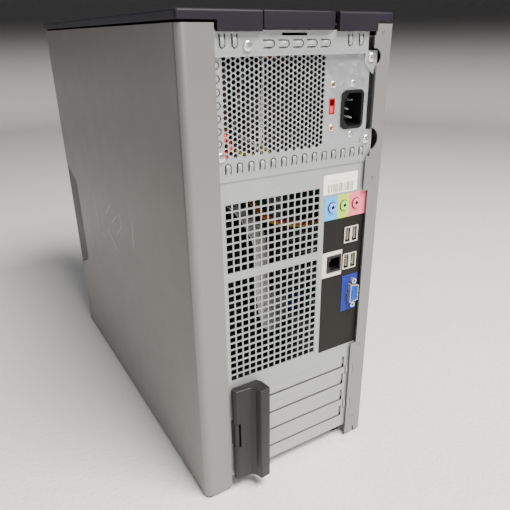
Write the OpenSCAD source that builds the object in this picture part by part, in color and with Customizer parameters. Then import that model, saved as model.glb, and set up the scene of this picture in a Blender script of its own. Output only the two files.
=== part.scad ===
// Mini-tower desktop computer.
// The front faces -Y and the back +Y, the opening side cover is on +X, and the feet stand on z = 0.
// The origin is at the middle of the bottom of the whole object.

/* [Case] */
// Width over both side shells
case_w = 185; // [184:1:188]
// Height from the floor to the top of the cap
case_h = 414; // [413:1:416]
// Depth from the nose of the bezel to the flanges on the back
case_d = 439; // [436:1:444]
// Thickness of the sheet steel
sheet = 1; // [0.8:0.1:1]
// Height of the steel base above the floor
base_z = 14; // [13:0.5:14]
// Width of the side cover's flange on the back
cover_flange_w = 26.5; // [25:0.5:27]
// Width of the fixed side's flange on the back
fixed_flange_w = 20.1; // [20:0.1:21]
// Radius of the cover's rear corner
corner_r = 7; // [5:0.5:8]
// Radius of the fixed side's rear corner
bend_r = 1.6; // [1.2:0.1:3]

/* [Openings on the back] */
// Square holes across the grille
grille_columns = 14; // [10:1:14]
// Rows in the upper block of the grille
grille_rows_up = 9; // [5:1:9]
// Rows in the lower block of the grille
grille_rows_low = 15; // [8:1:15]
// Distance between square holes
grille_pitch = 6.45; // [6.3:0.05:6.5]
// Side of one square hole
grille_hole = 5.3; // [4.5:0.1:5.6]
// Columns in the power supply's hexagonal mesh
mesh_columns = 24; // [16:1:24]
// Rows in the hexagonal mesh
mesh_rows = 18; // [12:1:18]
// Number of expansion slots
slots = 4; // [2:1:4]
// Distance between expansion slots
slot_pitch = 20.32; // [20.32]

/* [Nose] */
// Depth of the front bezel
nose_d = 36; // [34:1:38]
// Wall of the moulded parts
wall = 2.5; // [2:0.1:2.8]
// Radius of the bezel's upright corners
nose_corner = 28; // [24:1:30]

/* [Moving parts] */
// How far the card door stands out from the flanges
door_out = 16.5; // [16:0.5:17]
// Radius of the card door's hinge pin
door_pin_r = 1; // [0.8:0.1:1]
// Radius of the pins that the side cover tilts on
cover_pin_r = 1.5; // [1.2:0.1:1.5]
// Blades on each fan
blades = 7; // [5:1:9]
// Free play round a turning pin
running_gap = 0.08; // [0.05:0.01:0.1]

/* [Hidden] */

x_out = case_w / 2;
y_back = (case_d - door_out) / 2;
y_nose = -(case_d + door_out) / 2;
y_shell = y_nose + nose_d;
y_panel = y_back - 3;                 // outer face of the steel back
shell_z = [3, case_h - 8.3];          // bottom and top of the side shells
roof_z = case_h - 13.6;               // underside of the steel top
x_open = x_out - 8.5;                 // edge of the steel on the side that opens
x_fixed = x_out - sheet;              // inner face of the fixed side
y_front = y_shell + 2;                // outer face of the steel front

psu_x = 69.2;                         // edge of the power supply towards the cover
psu_z = 311.4;                        // its lower edge
psu_w = 150;
psu_h = 86;
psu_d = 140;
psu_hole_at = [[30, 80], [144, 70], [144, 6], [6, 6]];
psu_y = y_panel - sheet;              // outer face of its rear wall
psu_window = [[-79.5, 60.3], [315, 384.7]];
fan_at = [-5.8, 354.4];               // on the supply's inner end
lead_hole_at = [-60, 330];            // where the supply's leads come out
mesh_at = [57.8, 317.2];
mesh_step = [3.72, 3.93];
inlet_at = [-58.3, 342.6];
inlet_size = [20.4, 28];
inlet_pin_at = [[2, 0], [-2, -7], [-2, 7]];   // earth, then line and neutral
switch_at = [-37.6, 346.2];

grille_at = [58.4, 278.6];
grille_low_z = 214.2;
io_window = [[-80, -33.8], [117.2, 272.6]];
audio_at = [[-42.1, 262.6], [-55.1, 262.6], [-68.4, 262.6]];
usb_at = [[-65, 234], [-65, 208]];
net_at = [-47.2, 208.8];
screen_at = [-70, 174.6];
screw_span = 25;

slot_line_z = 28.3;
slot_h = 12.8;
slot_x = [-64.6, 60];
door_z = [14.4, 114.8];
door_axis = [60.8, y_back + 3];
knuckle_z = [52.6, 79.5];

tab_w = 6;
tab_gap = 1.1;

board_x = -83.4;                      // component side of the motherboard
board_y = [-38, 205];
board_z = [30, 274];
cpu_at = [110, 190];

bay_z = [349.6, 391.4];
bay2_z = [305.6, 347.4];
bay3_z = [270, 296];
bay_x = 74.4;
button_at = [0, 235];
flap_x = 24;
flap_z = [61.3, 104];
flap_axis = [y_nose + 1.75, 63.4];

cover_axis = [x_out - 6, 8.5];
cover_pin_y = [[-120, -100], [100, 120]];

latch_x = [-35.7, 28];
latch_y = [150, y_back + 0.6];

ribbon_route = [[-70, 102.5, 122], [-56, 108, 114], [-36, 126, 122], [-14, 144, 146], [-6, 150, 176], [-6, 150, 206],
                [-3, 146, 228], [6, 132, 246], [22, 104, 266], [34, 60, 292], [38, 20, 326], [37, -12, 354],
                [36, -34, 366]];
lead_routes = [
    [[-60, 74, 326], [-60, 64, 325], [-57, 54, 314], [-52, 50, 294], [-54, 58, 272], [-60, 64, 258], [-68, 65, 248]],
    [[-54, 74, 333], [-54, 62, 333], [-44, 46, 322], [-24, 30, 302], [-6, 4, 286], [0, -30, 276]],
    [[-66, 74, 333], [-66, 62, 334], [-62, 46, 342], [-56, 20, 356], [-52, -10, 364], [-50, -34, 368]],
    [[-57, 74, 323], [-55, 62, 321], [-44, 52, 300], [-30, 70, 266], [-24, 100, 244], [-30, 128, 231],
     [-50, 146, 228], [-72, 151, 227]]
];

steel = "#c2c2c0";
galvanised = "#c9cac6";
charcoal = "#47444b";
door_grey = "#464240";
near_black = "#34302e";
pcb_green = "#2f5a3a";

// ---------- general shapes ----------

// Both ends of a stretch that reaches h each way from c
function about(c, h) = [c - h, c + h];

module block(x, y, z) {
    translate([x[0], y[0], z[0]])
        cube([x[1] - x[0], y[1] - y[0], z[1] - z[0]]);
}

// A flat shape drawn in X and Z, with its outer face at y and its thickness towards the front
module rear_sheet(y, t) {
    translate([0, y, 0])
        rotate([90, 0, 0])
            linear_extrude(t)
                children();
}

// A round bar along Y from y[0] to y[1], at = [x, z]
module rod_y(at, y, r, fn = 48) {
    translate([at[0], y[1], at[1]])
        rotate([90, 0, 0])
            cylinder(r = r, h = y[1] - y[0], $fn = fn);
}

// A round bar along X from x[0] to x[1], at = [y, z]
module rod_x(at, x, r, fn = 48) {
    translate([x[0], at[0], at[1]])
        rotate([0, 90, 0])
            cylinder(r = r, h = x[1] - x[0], $fn = fn);
}

// A strip that ends in a half circle at the origin and runs back along -X
module tongue(len, w) {
    translate([-len, -w / 2])
        square([len - w / 2, w]);
    translate([-w / 2, 0])
        circle(d = w, $fn = 32);
}

// The U-shaped slit round a spring tab
module tab_slit(len, w = tab_w, gap = tab_gap) {
    difference() {
        tongue(len, w);
        translate([-gap, 0])
            tongue(len + gap, w - 2 * gap);
    }
}

// A rectangle with round corners, centred
module soft_rect(w, h, r) {
    union() {
        square([w - 2 * r, h], center = true);
        square([w, h - 2 * r], center = true);
        for (sx = [-1, 1], sy = [-1, 1])
            translate([sx * (w / 2 - r), sy * (h / 2 - r)])
                circle(r, $fn = 32);
    }
}

// A round tube along a route of points, as one swept body
function unit(v) = v / norm(v);
function heading(p, i) = unit(p[min(i + 1, len(p) - 1)] - p[max(i - 1, 0)]);
function sideways(d) = unit(cross(d, abs(d[2]) > 0.9 ? [1, 0, 0] : [0, 0, 1]));
function mix(a, b, t) = a * (1 - t) + b * t;
// Catmull-Rom point on a route, at u = 0 .. len - 1
function along(p, u) =
    let (i = min(floor(u), len(p) - 2), t = u - i,
         a = p[max(i - 1, 0)], b = p[i], c = p[i + 1], d = p[min(i + 2, len(p) - 1)])
    0.5 * (2 * b + (c - a) * t + (2 * a - 5 * b + 4 * c - d) * t * t + (3 * b - a - 3 * c + d) * t * t * t);
function smooth(p, n) = [for (k = [0 : n * (len(p) - 1)]) along(p, k / n)];

// Sweeps an outline, a list of [across, up] pairs, along a route; backs, one way for each
// point, set which way its back faces
module sweep(route, outline, backs = []) {
    m = len(outline);
    n = len(route);
    rings = [for (i = [0 : n - 1])
        let (d = heading(route, i), s = len(backs) > 0 ? unit(cross(d, backs[i])) : sideways(d), u = cross(s, d))
        for (q = outline) route[i] + s * q[0] + u * q[1]];
    sides = [for (i = [0 : n - 2], j = [0 : m - 1], half = [0, 1])
        let (a = i * m + j, b = i * m + (j + 1) % m)
        half == 0 ? [a, b, b + m] : [a, b + m, a + m]];
    ends = [[for (j = [m - 1 : -1 : 0]) j], [for (j = [0 : m - 1]) (n - 1) * m + j]];
    polyhedron(rings, concat(sides, ends), convexity = 4);
}
function ring(r, sides) = [for (j = [0 : sides - 1]) r * [cos(360 * j / sides), -sin(360 * j / sides)]];

// ---------- steel chassis ----------

module base_pan() {
    color(galvanised)
        difference() {
            block([-x_fixed, x_open], [y_front, psu_y], [base_z, base_z + sheet]);
            for (y = [-90 : 30 : 60])
                block([-30, 30], [y, y + 6], [base_z - 1, base_z + sheet + 1]);
        }
}

// Plan of one side shell: the wall, its round rear corner and the flange on the back
module shell_plan(flange_w, r) {
    difference() {
        union() {
            translate([x_out - 20, y_shell])
                square([20, y_back - y_shell - r]);
            translate([x_out - flange_w, y_back - 20])
                square([flange_w - r, 20]);
            translate([x_out - r, y_back - r])
                circle(r, $fn = 64);
        }
        translate([x_out - 21, y_shell - 1])
            square([21 - sheet, y_back - y_shell + 1 - r]);
        translate([x_out - flange_w - 1, y_back - 21])
            square([flange_w + 1 - r, 21 - sheet]);
        translate([x_out - r, y_back - r])
            circle(r - sheet, $fn = 64);
    }
}

// The grip recess in a side shell's front edge; play shrinks it for the bezel's wing
module grip(x, play) {
    hull()
        for (p = [[y_shell - 12, 103], [y_shell + 35, 124], [y_shell + 35, 222], [y_shell - 12, 238]])
            rod_x(p, x, 9 - play, 32);
}

module fixed_side() {
    color(steel)
        difference() {
            mirror([1, 0, 0])
                translate([0, 0, shell_z[0]])
                    linear_extrude(shell_z[1] - shell_z[0])
                        shell_plan(fixed_flange_w, bend_r);
            grip([-x_out - 1, -x_out + 4], 0);
            rod_y([-75.7, 381.8], [y_back - 3, y_back + 1], 6.4);
            rod_y([-75.9, 317.4], [y_back - 3, y_back + 1], 9.6);
            block([-78, -70], [y_back - 3, y_back + 1], [303, 388.2]);
            block([-74.3, -70], [y_back - 3, y_back + 1], [388, shell_z[1] + 1]);
            block([-75.6, -70], [y_back - 3, y_back + 1], [397.6, shell_z[1] + 1]);
            block([-73.9, -70], [y_back - 3, y_back + 1], [273, 303.5]);
            block([-78.9, -70], [y_back - 3, y_back + 1], io_window[1] + [-0.5, 0.5]);
            block([-84.7, -82.5], [y_back - 3, y_back + 1], [shell_z[0] - 1, 8.5]);
            for (z = [79.5, 36.5])
                block([-76.6, -75.5], [y_back - 3, y_back + 1], [z, z + 11.5]);
        }
}

module top_plate() {
    color(galvanised)
        difference() {
            block([-x_fixed, x_open], [y_front, psu_y], [roof_z, roof_z + sheet]);
            for (x = [-60 : 40 : 60])
                block([x, x + 20], [-120, -112], [roof_z - 1, roof_z + sheet + 1]);
        }
}

module grille_holes() {
    for (i = [0 : grille_columns - 1]) {
        for (j = [0 : grille_rows_up - 1])
            translate([grille_at[0] - i * grille_pitch, grille_at[1] - j * grille_pitch])
                square(grille_hole, center = true);
        for (j = [0 : grille_rows_low - 1])
            translate([grille_at[0] - i * grille_pitch, grille_low_z - j * grille_pitch])
                square(grille_hole, center = true);
    }
}

// Spring tabs round the power supply: a row above, a column beside and a row below
module contact_tabs() {
    for (x = [16.7 : -12.5 : -34])
        translate([x, 392.4])
            rotate(180)
                tab_slit(10);
    for (x = [58.9, 49.4, -52, -62.7])
        translate([x, 389.6])
            rotate(-90)
                tab_slit(9.5, 5.2);
    for (i = [0 : 7])
        translate([61.4, 379.6 - i * 8.74])
            rotate(180)
                tab_slit(9);
    for (i = [0 : 13])
        translate([57.3 - i * 9.81, 312.6])
            rotate(90)
                tab_slit(8.4, 5.6);
}

module slot_windows() {
    for (i = [0 : slots - 1])
        translate([slot_x[0] - 2.8, slot_line_z + i * slot_pitch])
            square([slot_x[1] - slot_x[0] + 2.8, slot_h]);
}

module rear_panel() {
    color(steel) {
        rear_sheet(y_panel, sheet)
            difference() {
                translate([-81, base_z])
                    square([x_open + 81, roof_z + sheet - base_z]);
                difference() {
                    translate([psu_window[0][0], psu_window[1][0]])
                        square([psu_window[0][1] - psu_window[0][0], psu_window[1][1] - psu_window[1][0]]);
                    polygon([[-82, 386], [-68, 386], [-68, 378], [-77, 369], [-82, 369]]);
                    polygon([[-82, 314], [-69, 314], [-69, 318], [-73, 325], [-82, 325]]);
                }
                translate([io_window[0][0], io_window[1][0]])
                    square([io_window[0][1] - io_window[0][0], io_window[1][1] - io_window[1][0]]);
                translate([-11, roof_z - 2.6])
                    square([22, 1.8]);
                for (z = [79.5, 36.5])
                    translate([-69.8, z])
                        square([1, 11.5]);
                translate([-82, 386.5])
                    square([11.3, 16]);
                for (p = psu_hole_at)
                    translate([psu_x - p[0], psu_z + p[1]])
                        circle(1.9, $fn = 32);
                grille_holes();
                contact_tabs();
                slot_windows();
            }
        block([-74, x_open], [y_panel, y_panel + 0.9], [299, 302.8]);
        block([-68.8, x_out - cover_flange_w - 0.5], [y_panel, y_panel + 2.4], [384.7, 385.7]);
    }
}

module front_panel() {
    color(galvanised)
        difference() {
            block([-x_fixed, x_open], [y_front, y_front + sheet], [base_z + sheet, roof_z]);
            block([-74, 74], [y_front - 1, y_front + 2], [bay2_z[0] - 1, bay_z[1] + 1]);
            block([-52, 52], [y_front - 1, y_front + 2], [262, 292]);
            rod_y(button_at, [y_front - 1, y_front + 2], 16);
            block([-30, 30], [y_front - 1, y_front + 2], [60, 110]);
            for (i = [-3 : 3], j = [0 : 5])
                rod_y([i * 16, 128 + j * 15], [y_front - 1, y_front + 2], 5.5, 6);
            block([-x_out, -x_out + 5.2], [y_front - 1, y_front + 2], [92, 250]);
        }
}

module feet() {
    color("#262626")
        for (x = [-70, 67.5], y = [-165, 190])
            translate([x, y, 0])
                union() {
                    cylinder(r1 = 9, r2 = 10, h = 5, $fn = 48);
                    translate([0, 0, 5])
                        cylinder(r = 10, h = base_z - 5, $fn = 48);
                }
}

// Blocks under the base that the side cover's pins sit and turn in
module hinge_hooks() {
    color(galvanised)
        for (p = cover_pin_y)
            difference() {
                block([cover_axis[0] - 5, cover_axis[0] + 2.5], [p[0] + 3, p[1] - 3], [cover_axis[1] - 2.5, base_z]);
                rod_y(cover_axis, p, cover_pin_r + running_gap);
            }
}

// ---------- side cover ----------

module side_cover() {
    color("#a9a5a2")
        difference() {
            union() {
                translate([0, 0, shell_z[0]])
                    linear_extrude(shell_z[1] - shell_z[0])
                        shell_plan(cover_flange_w, corner_r);
                for (z = [shell_z[0], shell_z[1] - sheet])
                    block([x_out - 12, x_out - sheet / 2], [y_shell + 4, y_back - corner_r], [z, z + sheet]);
                for (p = cover_pin_y, y = [p[0] - 2, p[1]])
                    block([cover_axis[0] - 2.5, x_out - sheet / 2], [y, y + 2], [shell_z[0], cover_axis[1] + 2.5]);
            }
            grip([x_out - 4, x_out + 1], 0);
            for (p = cover_pin_y)
                block([x_out - 14, x_out - 2.5], [p[0], p[1]], [shell_z[0] - 1, shell_z[0] + sheet + 1]);
        }
}

module cover_pins() {
    color(steel)
        for (p = cover_pin_y)
            rod_y(cover_axis, p, cover_pin_r);
}

// ---------- cap and latch ----------

// Plan of the cap; inset gives the inside of its skirt
module cap_plan(inset) {
    y0 = y_shell - 10;
    translate([0, (y0 + y_back) / 2])
        soft_rect(2 * (x_out - inset), y_back + 0.6 - y0 - 2 * inset, 3 - inset);
}

module top_cap() {
    skirt_z = case_h - 6.6;
    color(charcoal)
        difference() {
            union() {
                difference() {
                    translate([0, 0, skirt_z])
                        linear_extrude(case_h - skirt_z)
                            cap_plan(0);
                    translate([0, 0, skirt_z - 1])
                        linear_extrude(case_h - wall - skirt_z + 1)
                            cap_plan(wall);
                }
                block([-76.5, 63.5], [psu_y + 0.3, y_back + 0.2], [roof_z + sheet, skirt_z + 1]);
                block([-76.5, 63.5], [y_panel, y_back + 0.2], [roof_z, roof_z + sheet]);
                for (x = [-70, 55], y = [-150, 0, 130])
                    block([x, x + 3], [y, y + 10], [roof_z + sheet, case_h - wall + 0.5]);
            }
            block([latch_x[0] - 2.6, latch_x[1] + 0.8], [latch_y[0] - 12, y_back + 5], [roof_z - 1, case_h + 1]);
            block([-x_out, x_out], [y_shell - 15, y_shell - 0.3], [skirt_z - 5, case_h - wall]);
        }
}

// The push-back latch: a moulded slider with a rib underneath for its return spring
module cover_latch() {
    z = [roof_z + sheet + 0.4, case_h - 0.2];
    color(charcoal)
        difference() {
            translate([0, 0, z[0]])
                linear_extrude(z[1] - z[0])
                    polygon([[latch_x[0], latch_y[0]], [latch_x[1], latch_y[0]], [latch_x[1], latch_y[1]],
                             [latch_x[0] + 7, latch_y[1]], [latch_x[0], latch_y[1] - 2.5]]);
            block(latch_x + [wall, -9], [latch_y[0] + 8, latch_y[1] - 10], [z[0] - 1, z[1] - wall]);
        }
}

module latch_spring() {
    color(steel)
        difference() {
            rod_y([0, roof_z + sheet + 4.6], [latch_y[0] + 8.2, latch_y[0] + 36], 3);
            rod_y([0, roof_z + sheet + 4.6], [latch_y[0] + 8, latch_y[0] + 37], 2.2);
        }
}

// ---------- front bezel ----------

// Plan of the bezel: nearly flat in front, with round upright corners
module nose_plan(inset) {
    nose_r = 700;
    half = x_out - 2.6;
    depth = nose_d - 0.3 + (inset > 0 ? 1 : 0);
    intersection() {
        translate([0, y_nose + nose_r])
            circle(nose_r - inset, $fn = 200);
        translate([-x_out, y_nose])
            square([case_w, depth]);
        union() {
            translate([-half + inset, y_nose + nose_corner])
                square([2 * (half - inset), depth - nose_corner]);
            for (s = [-1, 1])
                translate([s * (half - nose_corner), y_nose + nose_corner])
                    circle(nose_corner - inset, $fn = 96);
            translate([-half + nose_corner, y_nose])
                square([2 * (half - nose_corner), nose_corner]);
        }
    }
}

module front_bezel() {
    color("#3b3a3e")
        difference() {
            union() {
                difference() {
                    translate([0, 0, 4])
                        linear_extrude(case_h - 7)
                            nose_plan(0);
                    translate([0, 0, 4 + wall])
                        linear_extrude(case_h - 7 - 2 * wall)
                            nose_plan(wall);
                }
                for (s = [-1, 1])
                    intersection() {
                        grip(s > 0 ? [x_out - 4.6, x_out - 0.6] : [-x_out + 0.6, -x_out + 4.6], 0.7);
                        block([-x_out, x_out], [y_shell - 1.2, y_shell + 50], [90, 260]);
                    }
            }
            for (z = [bay_z, bay2_z])
                block([-bay_x, bay_x], [y_nose - 1, y_nose + 20], z);
            block([-51, 51], [y_nose - 1, y_nose + 12], bay3_z);
            rod_y(button_at, [y_nose - 1, y_nose + 9], 11.4);
            rod_y([20, button_at[1]], [y_nose - 1, y_nose + 9], 1.6);
            block([-flap_x, flap_x], [y_nose - 1, y_nose + 9], flap_z);
            rod_x(flap_axis, [-flap_x - 2.5, flap_x + 2.5], 0.9, 32);
            for (z = [24 : 7 : 50])
                block([-46, 46], [y_nose - 1, y_nose + 12], [z, z + 3]);
            for (z = [130 : 7 : 190])
                block([-46, 46], [y_nose - 1, y_nose + 12], [z, z + 2.4]);
        }
}

// ---------- expansion slots ----------

// Plan of the card door, moved in by t for its hollow
module door_plan(t) {
    polygon([
        [61.4 - t, y_back - 2.6 - t], [63.4 - t, y_back + 0.4], [63.4 - t, y_back + 2.6 - t],
        [61.7 - t, y_back + 5.5 - t], [46.4, y_back + 6 - t], [44.4 - t / 2, y_back + 10 - t],
        [42.6 - t, y_back + 15.6 - t], [40.8, y_back + door_out - t], [33 + t, y_back + 15.4 - t],
        [31.8 + t, y_back + 13.8 - t], [33.2 + t, y_back + 2.3], [36.2 + t, y_back - 2.6 - t]
    ]);
}

module card_door() {
    color(door_grey)
        difference() {
            translate([0, 0, door_z[0]])
                linear_extrude(door_z[1] - door_z[0])
                    door_plan(0);
            intersection() {
                translate([0, 0, door_z[0] + 2])
                    linear_extrude(door_z[1] - door_z[0] - 4)
                        door_plan(1.8);
                block([30, 57.4], [y_back - 5, y_back + 20], door_z);
            }
            block([58, 70], [y_back - 5, y_back + 12], knuckle_z);
            translate([door_axis[0], door_axis[1], door_z[0] + 3])
                cylinder(r = door_pin_r + running_gap, h = door_z[1] - door_z[0] - 6, $fn = 48);
        }
}

module door_bracket() {
    z = knuckle_z + [0.5, -0.5];
    color(door_grey)
        difference() {
            union() {
                translate([door_axis[0], door_axis[1], z[0]])
                    cylinder(r = 2.3, h = z[1] - z[0], $fn = 48);
                block([door_axis[0] - 1.4, door_axis[0] + 2.3], [y_panel, door_axis[1]], z);
            }
            translate([door_axis[0], door_axis[1], z[0] - 1])
                cylinder(r = door_pin_r, h = z[1] - z[0] + 2, $fn = 48);
        }
}

module door_pin() {
    color(steel)
        translate([door_axis[0], door_axis[1], door_z[0] + 3.2])
            cylinder(r = door_pin_r, h = door_z[1] - door_z[0] - 6.4, $fn = 48);
}

module slot_covers() {
    color(galvanised)
        for (i = [0 : slots - 1]) {
            z = slot_line_z + i * slot_pitch;
            block([slot_x[0], slot_x[1] - 0.5], [psu_y, y_panel - 0.2], [z + 1.1, z + slot_h - 0.25]);
            block([slot_x[0] - 8, slot_x[0]], [psu_y - 2, psu_y - 1], [z + 3, z + slot_h - 3]);
            block([slot_x[0] - 0.01, slot_x[0] + 1], [psu_y - 2, psu_y], [z + 3, z + slot_h - 3]);
        }
}

// ---------- power supply ----------

module mesh_holes() {
    for (i = [0 : mesh_columns - 1], j = [0 : mesh_rows - 1])
        translate([mesh_at[0] - i * mesh_step[0], mesh_at[1] + (j + (i % 2) / 2) * mesh_step[1]])
            circle(1.8, $fn = 6);
}

module psu_face() {
    color(galvanised)
        rear_sheet(psu_y, sheet)
            difference() {
                union() {
                    translate([-74.6, psu_z])
                        square([psu_x + 74.6, psu_h]);
                    translate([psu_x - psu_w, psu_z])
                        square([10, 14]);
                    translate([psu_x - psu_w, psu_z + psu_h - 26])
                        square([10, 26]);
                }
                mesh_holes();
                translate([-82, 386.5])
                    square([11.5, 12]);
                for (p = psu_hole_at)
                    translate([psu_x - p[0], psu_z + p[1]])
                        circle(1.65, $fn = 32);
                translate(inlet_at)
                    soft_rect(inlet_size[0] + 0.2, inlet_size[1] + 0.2, 3);
                translate(switch_at)
                    square([6.2, 12.4], center = true);
                for (s = [-1, 1]) {
                    translate(inlet_at + [0, s * 20])
                        circle(1.5, $fn = 32);
                    translate(switch_at + [0, s * 16.5])
                        circle(1.5, $fn = 32);
                }
            }
}

module psu_shell() {
    x = [psu_x - psu_w, psu_x];
    y = [psu_y - psu_d, psu_y - sheet];
    z = [psu_z, psu_z + psu_h];
    color(galvanised)
        difference() {
            block(x, y, z);
            block(x + [sheet, -sheet], [y[0] + sheet, y[1] + 1], z + [sheet, -sheet]);
            block([-76, 66], [y[1] - 6, y[1] + 1], [z[0] - 1, z[0] + 2]);
            rod_y(lead_hole_at, [y[0] - 1, y[0] + 2], 11);
            for (i = [-4 : 4])
                block(about(fan_at[0] + i * 8, 2.5), [y[0] - 1, y[0] + 2], about(fan_at[1], 36 - abs(i) * abs(i)));
        }
}

// Pan-head screws through the back into the power supply
module psu_screws() {
    color("#d8d8d4")
        for (p = psu_hole_at) {
            at = [psu_x - p[0], psu_z + p[1]];
            difference() {
                union() {
                    rod_y(at, [psu_y - sheet, y_panel], 1.6, 32);
                    rod_y(at, [y_panel, y_panel + 1.9], 3.9, 48);
                }
                block([at[0] - 3, at[0] + 3], [y_panel + 1.2, y_panel + 3], [at[1] - 0.5, at[1] + 0.5]);
                block([at[0] - 0.5, at[0] + 0.5], [y_panel + 1.2, y_panel + 3], [at[1] - 3, at[1] + 3]);
            }
        }
}

module psu_rivets() {
    color("#b8a890")
        for (s = [-1, 1]) {
            for (at = [inlet_at + [0, s * 20], switch_at + [0, s * 16.5]]) {
                rod_y(at, [psu_y - 4, psu_y], 1.45, 32);
                rod_y(at, [psu_y, psu_y + 0.9], 2.6, 32);
            }
        }
}

// Square fan body along Y: size, depth and bore
module fan_frame(size, depth, bore) {
    difference() {
        union() {
            difference() {
                rear_sheet(depth, depth)
                    soft_rect(size, size, 4);
                rod_y([0, 0], [-1, depth + 1], bore);
            }
            for (a = [0, 90, 180, 270])
                rotate([0, a + 45, 0])
                    block([0, bore + 1], [0, 1.4], [-2, 2]);
            rod_y([0, 0], [0, 1.4], bore * 0.42);
            rod_y([0, 0], [0, depth - 5], 2.4, 32);
        }
        for (sx = [-1, 1], sz = [-1, 1])
            rod_y([sx * (size / 2 - 4.3), sz * (size / 2 - 4.3)], [-1, depth + 1], 2);
    }
}

// Fan wheel along Y: a hub bored for its post, with tilted flat blades
module fan_rotor(depth, r) {
    difference() {
        union() {
            rod_y([0, 0], [2, depth - 1.5], r * 0.45);
            intersection() {
                rod_y([0, 0], [2.2, depth - 2], r);
                for (i = [0 : blades - 1])
                    rotate([0, i * 360 / blades, 0])
                        translate([0, depth / 2, 0])
                            rotate([38, 0, 0])
                                block([r * 0.4, r + 2], [-0.7, 0.7], [-depth, depth]);
            }
        }
        rod_y([0, 0], [1, depth - 3], 2.4 + running_gap, 32);
    }
}

module psu_fan_frame() {
    color("#2a2a2c")
        translate([fan_at[0], psu_y - psu_d + sheet, fan_at[1]])
            fan_frame(80, 25, 38);
}

module psu_fan_rotor() {
    color("#1f1f21")
        translate([fan_at[0], psu_y - psu_d + sheet, fan_at[1]])
            fan_rotor(25, 37);
}

module psu_board() {
    y = [psu_y - psu_d + 30, psu_y - 24];
    color("#a08050") {
        block([-74, 62], y, [psu_z + 6, psu_z + 7.6]);
        for (x = [-74, 58])
            for (yy = [y[0] + 4, y[1] - 8])
                block([x, x + 4], [yy, yy + 4], [psu_z + 1, psu_z + 6]);
        block([-20, 16], [y[0] + 30, y[0] + 66], [psu_z + 7.6, psu_z + 42]);
        block([-44, -40], [y[0] + 8, y[1] - 8], [psu_z + 7.6, psu_z + 66]);
        block([40, 44], [y[0] + 8, y[1] - 8], [psu_z + 7.6, psu_z + 66]);
        for (x = [-64, -66 + 26])
            translate([x + 2, y[0] + 20, psu_z + 7.6])
                translate([x < -50 ? 0 : 8, 0, 0])
                    cylinder(r = 8, h = 36, $fn = 32);
    }
}

module inlet_housing() {
    color("#1c1c1d")
        difference() {
            union() {
                rear_sheet(psu_y + 1.2, 1.2)
                    translate(inlet_at)
                        soft_rect(inlet_size[0] + 2.4, inlet_size[1] + 2.4, 4.2);
                rear_sheet(psu_y, 20)
                    translate(inlet_at)
                        soft_rect(inlet_size[0], inlet_size[1], 3);
            }
            translate([0, 0.01, 0])
                rear_sheet(psu_y + 1.3, 17)
                    translate(inlet_at)
                        polygon([[-9, -11.7], [-7.8, -12.9], [4.2, -12.9], [9, -7.8], [9, 7.8], [4.2, 12.9],
                                 [-7.8, 12.9], [-9, 11.7]]);
            for (p = inlet_pin_at)
                rear_sheet(psu_y - 15, 10)
                    translate(inlet_at + p)
                        square([4, 2], center = true);
        }
}

module inlet_pins() {
    color("#c8b070")
        for (p = inlet_pin_at)
            rear_sheet(psu_y - 3, 19)
                translate(inlet_at + p)
                    square([4, 2], center = true);
}

module voltage_switch() {
    color("#a02828")
        difference() {
            rear_sheet(psu_y, 9)
                translate(switch_at)
                    square([6.1, 12.3], center = true);
            rear_sheet(psu_y + 0.5, 4.5)
                translate(switch_at)
                    square([4.3, 10.3], center = true);
        }
}

// The red slider, at its lower voltage end
module voltage_slider() {
    color("#d83a36")
        block([switch_at[0] - 1.95, switch_at[0] + 1.95], [psu_y - 3.8, psu_y - 0.4],
              [switch_at[1] - 4.9, switch_at[1] + 0.3]);
}

// ---------- connectors on the back ----------

function rect_of(at, size) = [[at[0] - size[0] / 2, at[0] + size[0] / 2], [at[1] - size[1] / 2, at[1] + size[1] / 2]];

module plate_hole(at, size) {
    translate(at)
        square(size, center = true);
}

module io_plate() {
    color(near_black)
        rear_sheet(y_panel - 0.2, 0.8)
            difference() {
                translate([io_window[0][0], io_window[1][0]])
                    square([io_window[0][1] - io_window[0][0], io_window[1][1] - io_window[1][0]]);
                for (at = audio_at)
                    translate(at)
                        circle(4.4, $fn = 48);
                for (at = usb_at)
                    plate_hole(at, [16, 15.8]);
                plate_hole(net_at, [16.4, 16.4]);
                translate(screen_at)
                    soft_rect(11, 19.6, 3);
                for (s = [-1, 1])
                    translate(screen_at + [0, s * screw_span / 2])
                        circle(3.2, $fn = 32);
            }
}

// Coloured key plates round the ports
module port_labels() {
    audio_x = [-33.9, -47.9, -60.8, -79.8];
    color("#86b8e8")
        rear_sheet(y_panel + 0.1, 0.3)
            difference() {
                union() {
                    for (i = [0 : 2])
                        translate([audio_x[i + 1] + 0.05, 251.2])
                            square([audio_x[i] - audio_x[i + 1] - 0.1, 21.3]);
                    translate([-56.2, 196.4])
                        square([22.3, 24.4]);
                    translate([-76.6, 156])
                        square([18.2, 37.2]);
                }
                for (at = audio_at)
                    translate(at)
                        circle(4.4, $fn = 48);
                plate_hole(net_at, [16.4, 16.4]);
                plate_hole(usb_at[1], [16.1, 16]);
                translate(screen_at)
                    soft_rect(11, 19.6, 3);
                for (s = [-1, 1])
                    translate(screen_at + [0, s * screw_span / 2])
                        circle(3.2, $fn = 32);
            }
}

// Three 3.5 mm sockets, each a round nose on a block that stands on the board
module audio_jacks() {
    color("#d8d8d8")
        difference() {
            union() {
                for (at = audio_at)
                    rod_y(at, [y_panel - 3, y_panel + 1.6], 4.2);
                block([board_x, -37], [y_panel - 13, y_panel - 3], [256, 269]);
            }
            for (at = audio_at)
                rod_y(at, [y_panel - 14, y_panel + 2], 1.8);
        }
}

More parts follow.
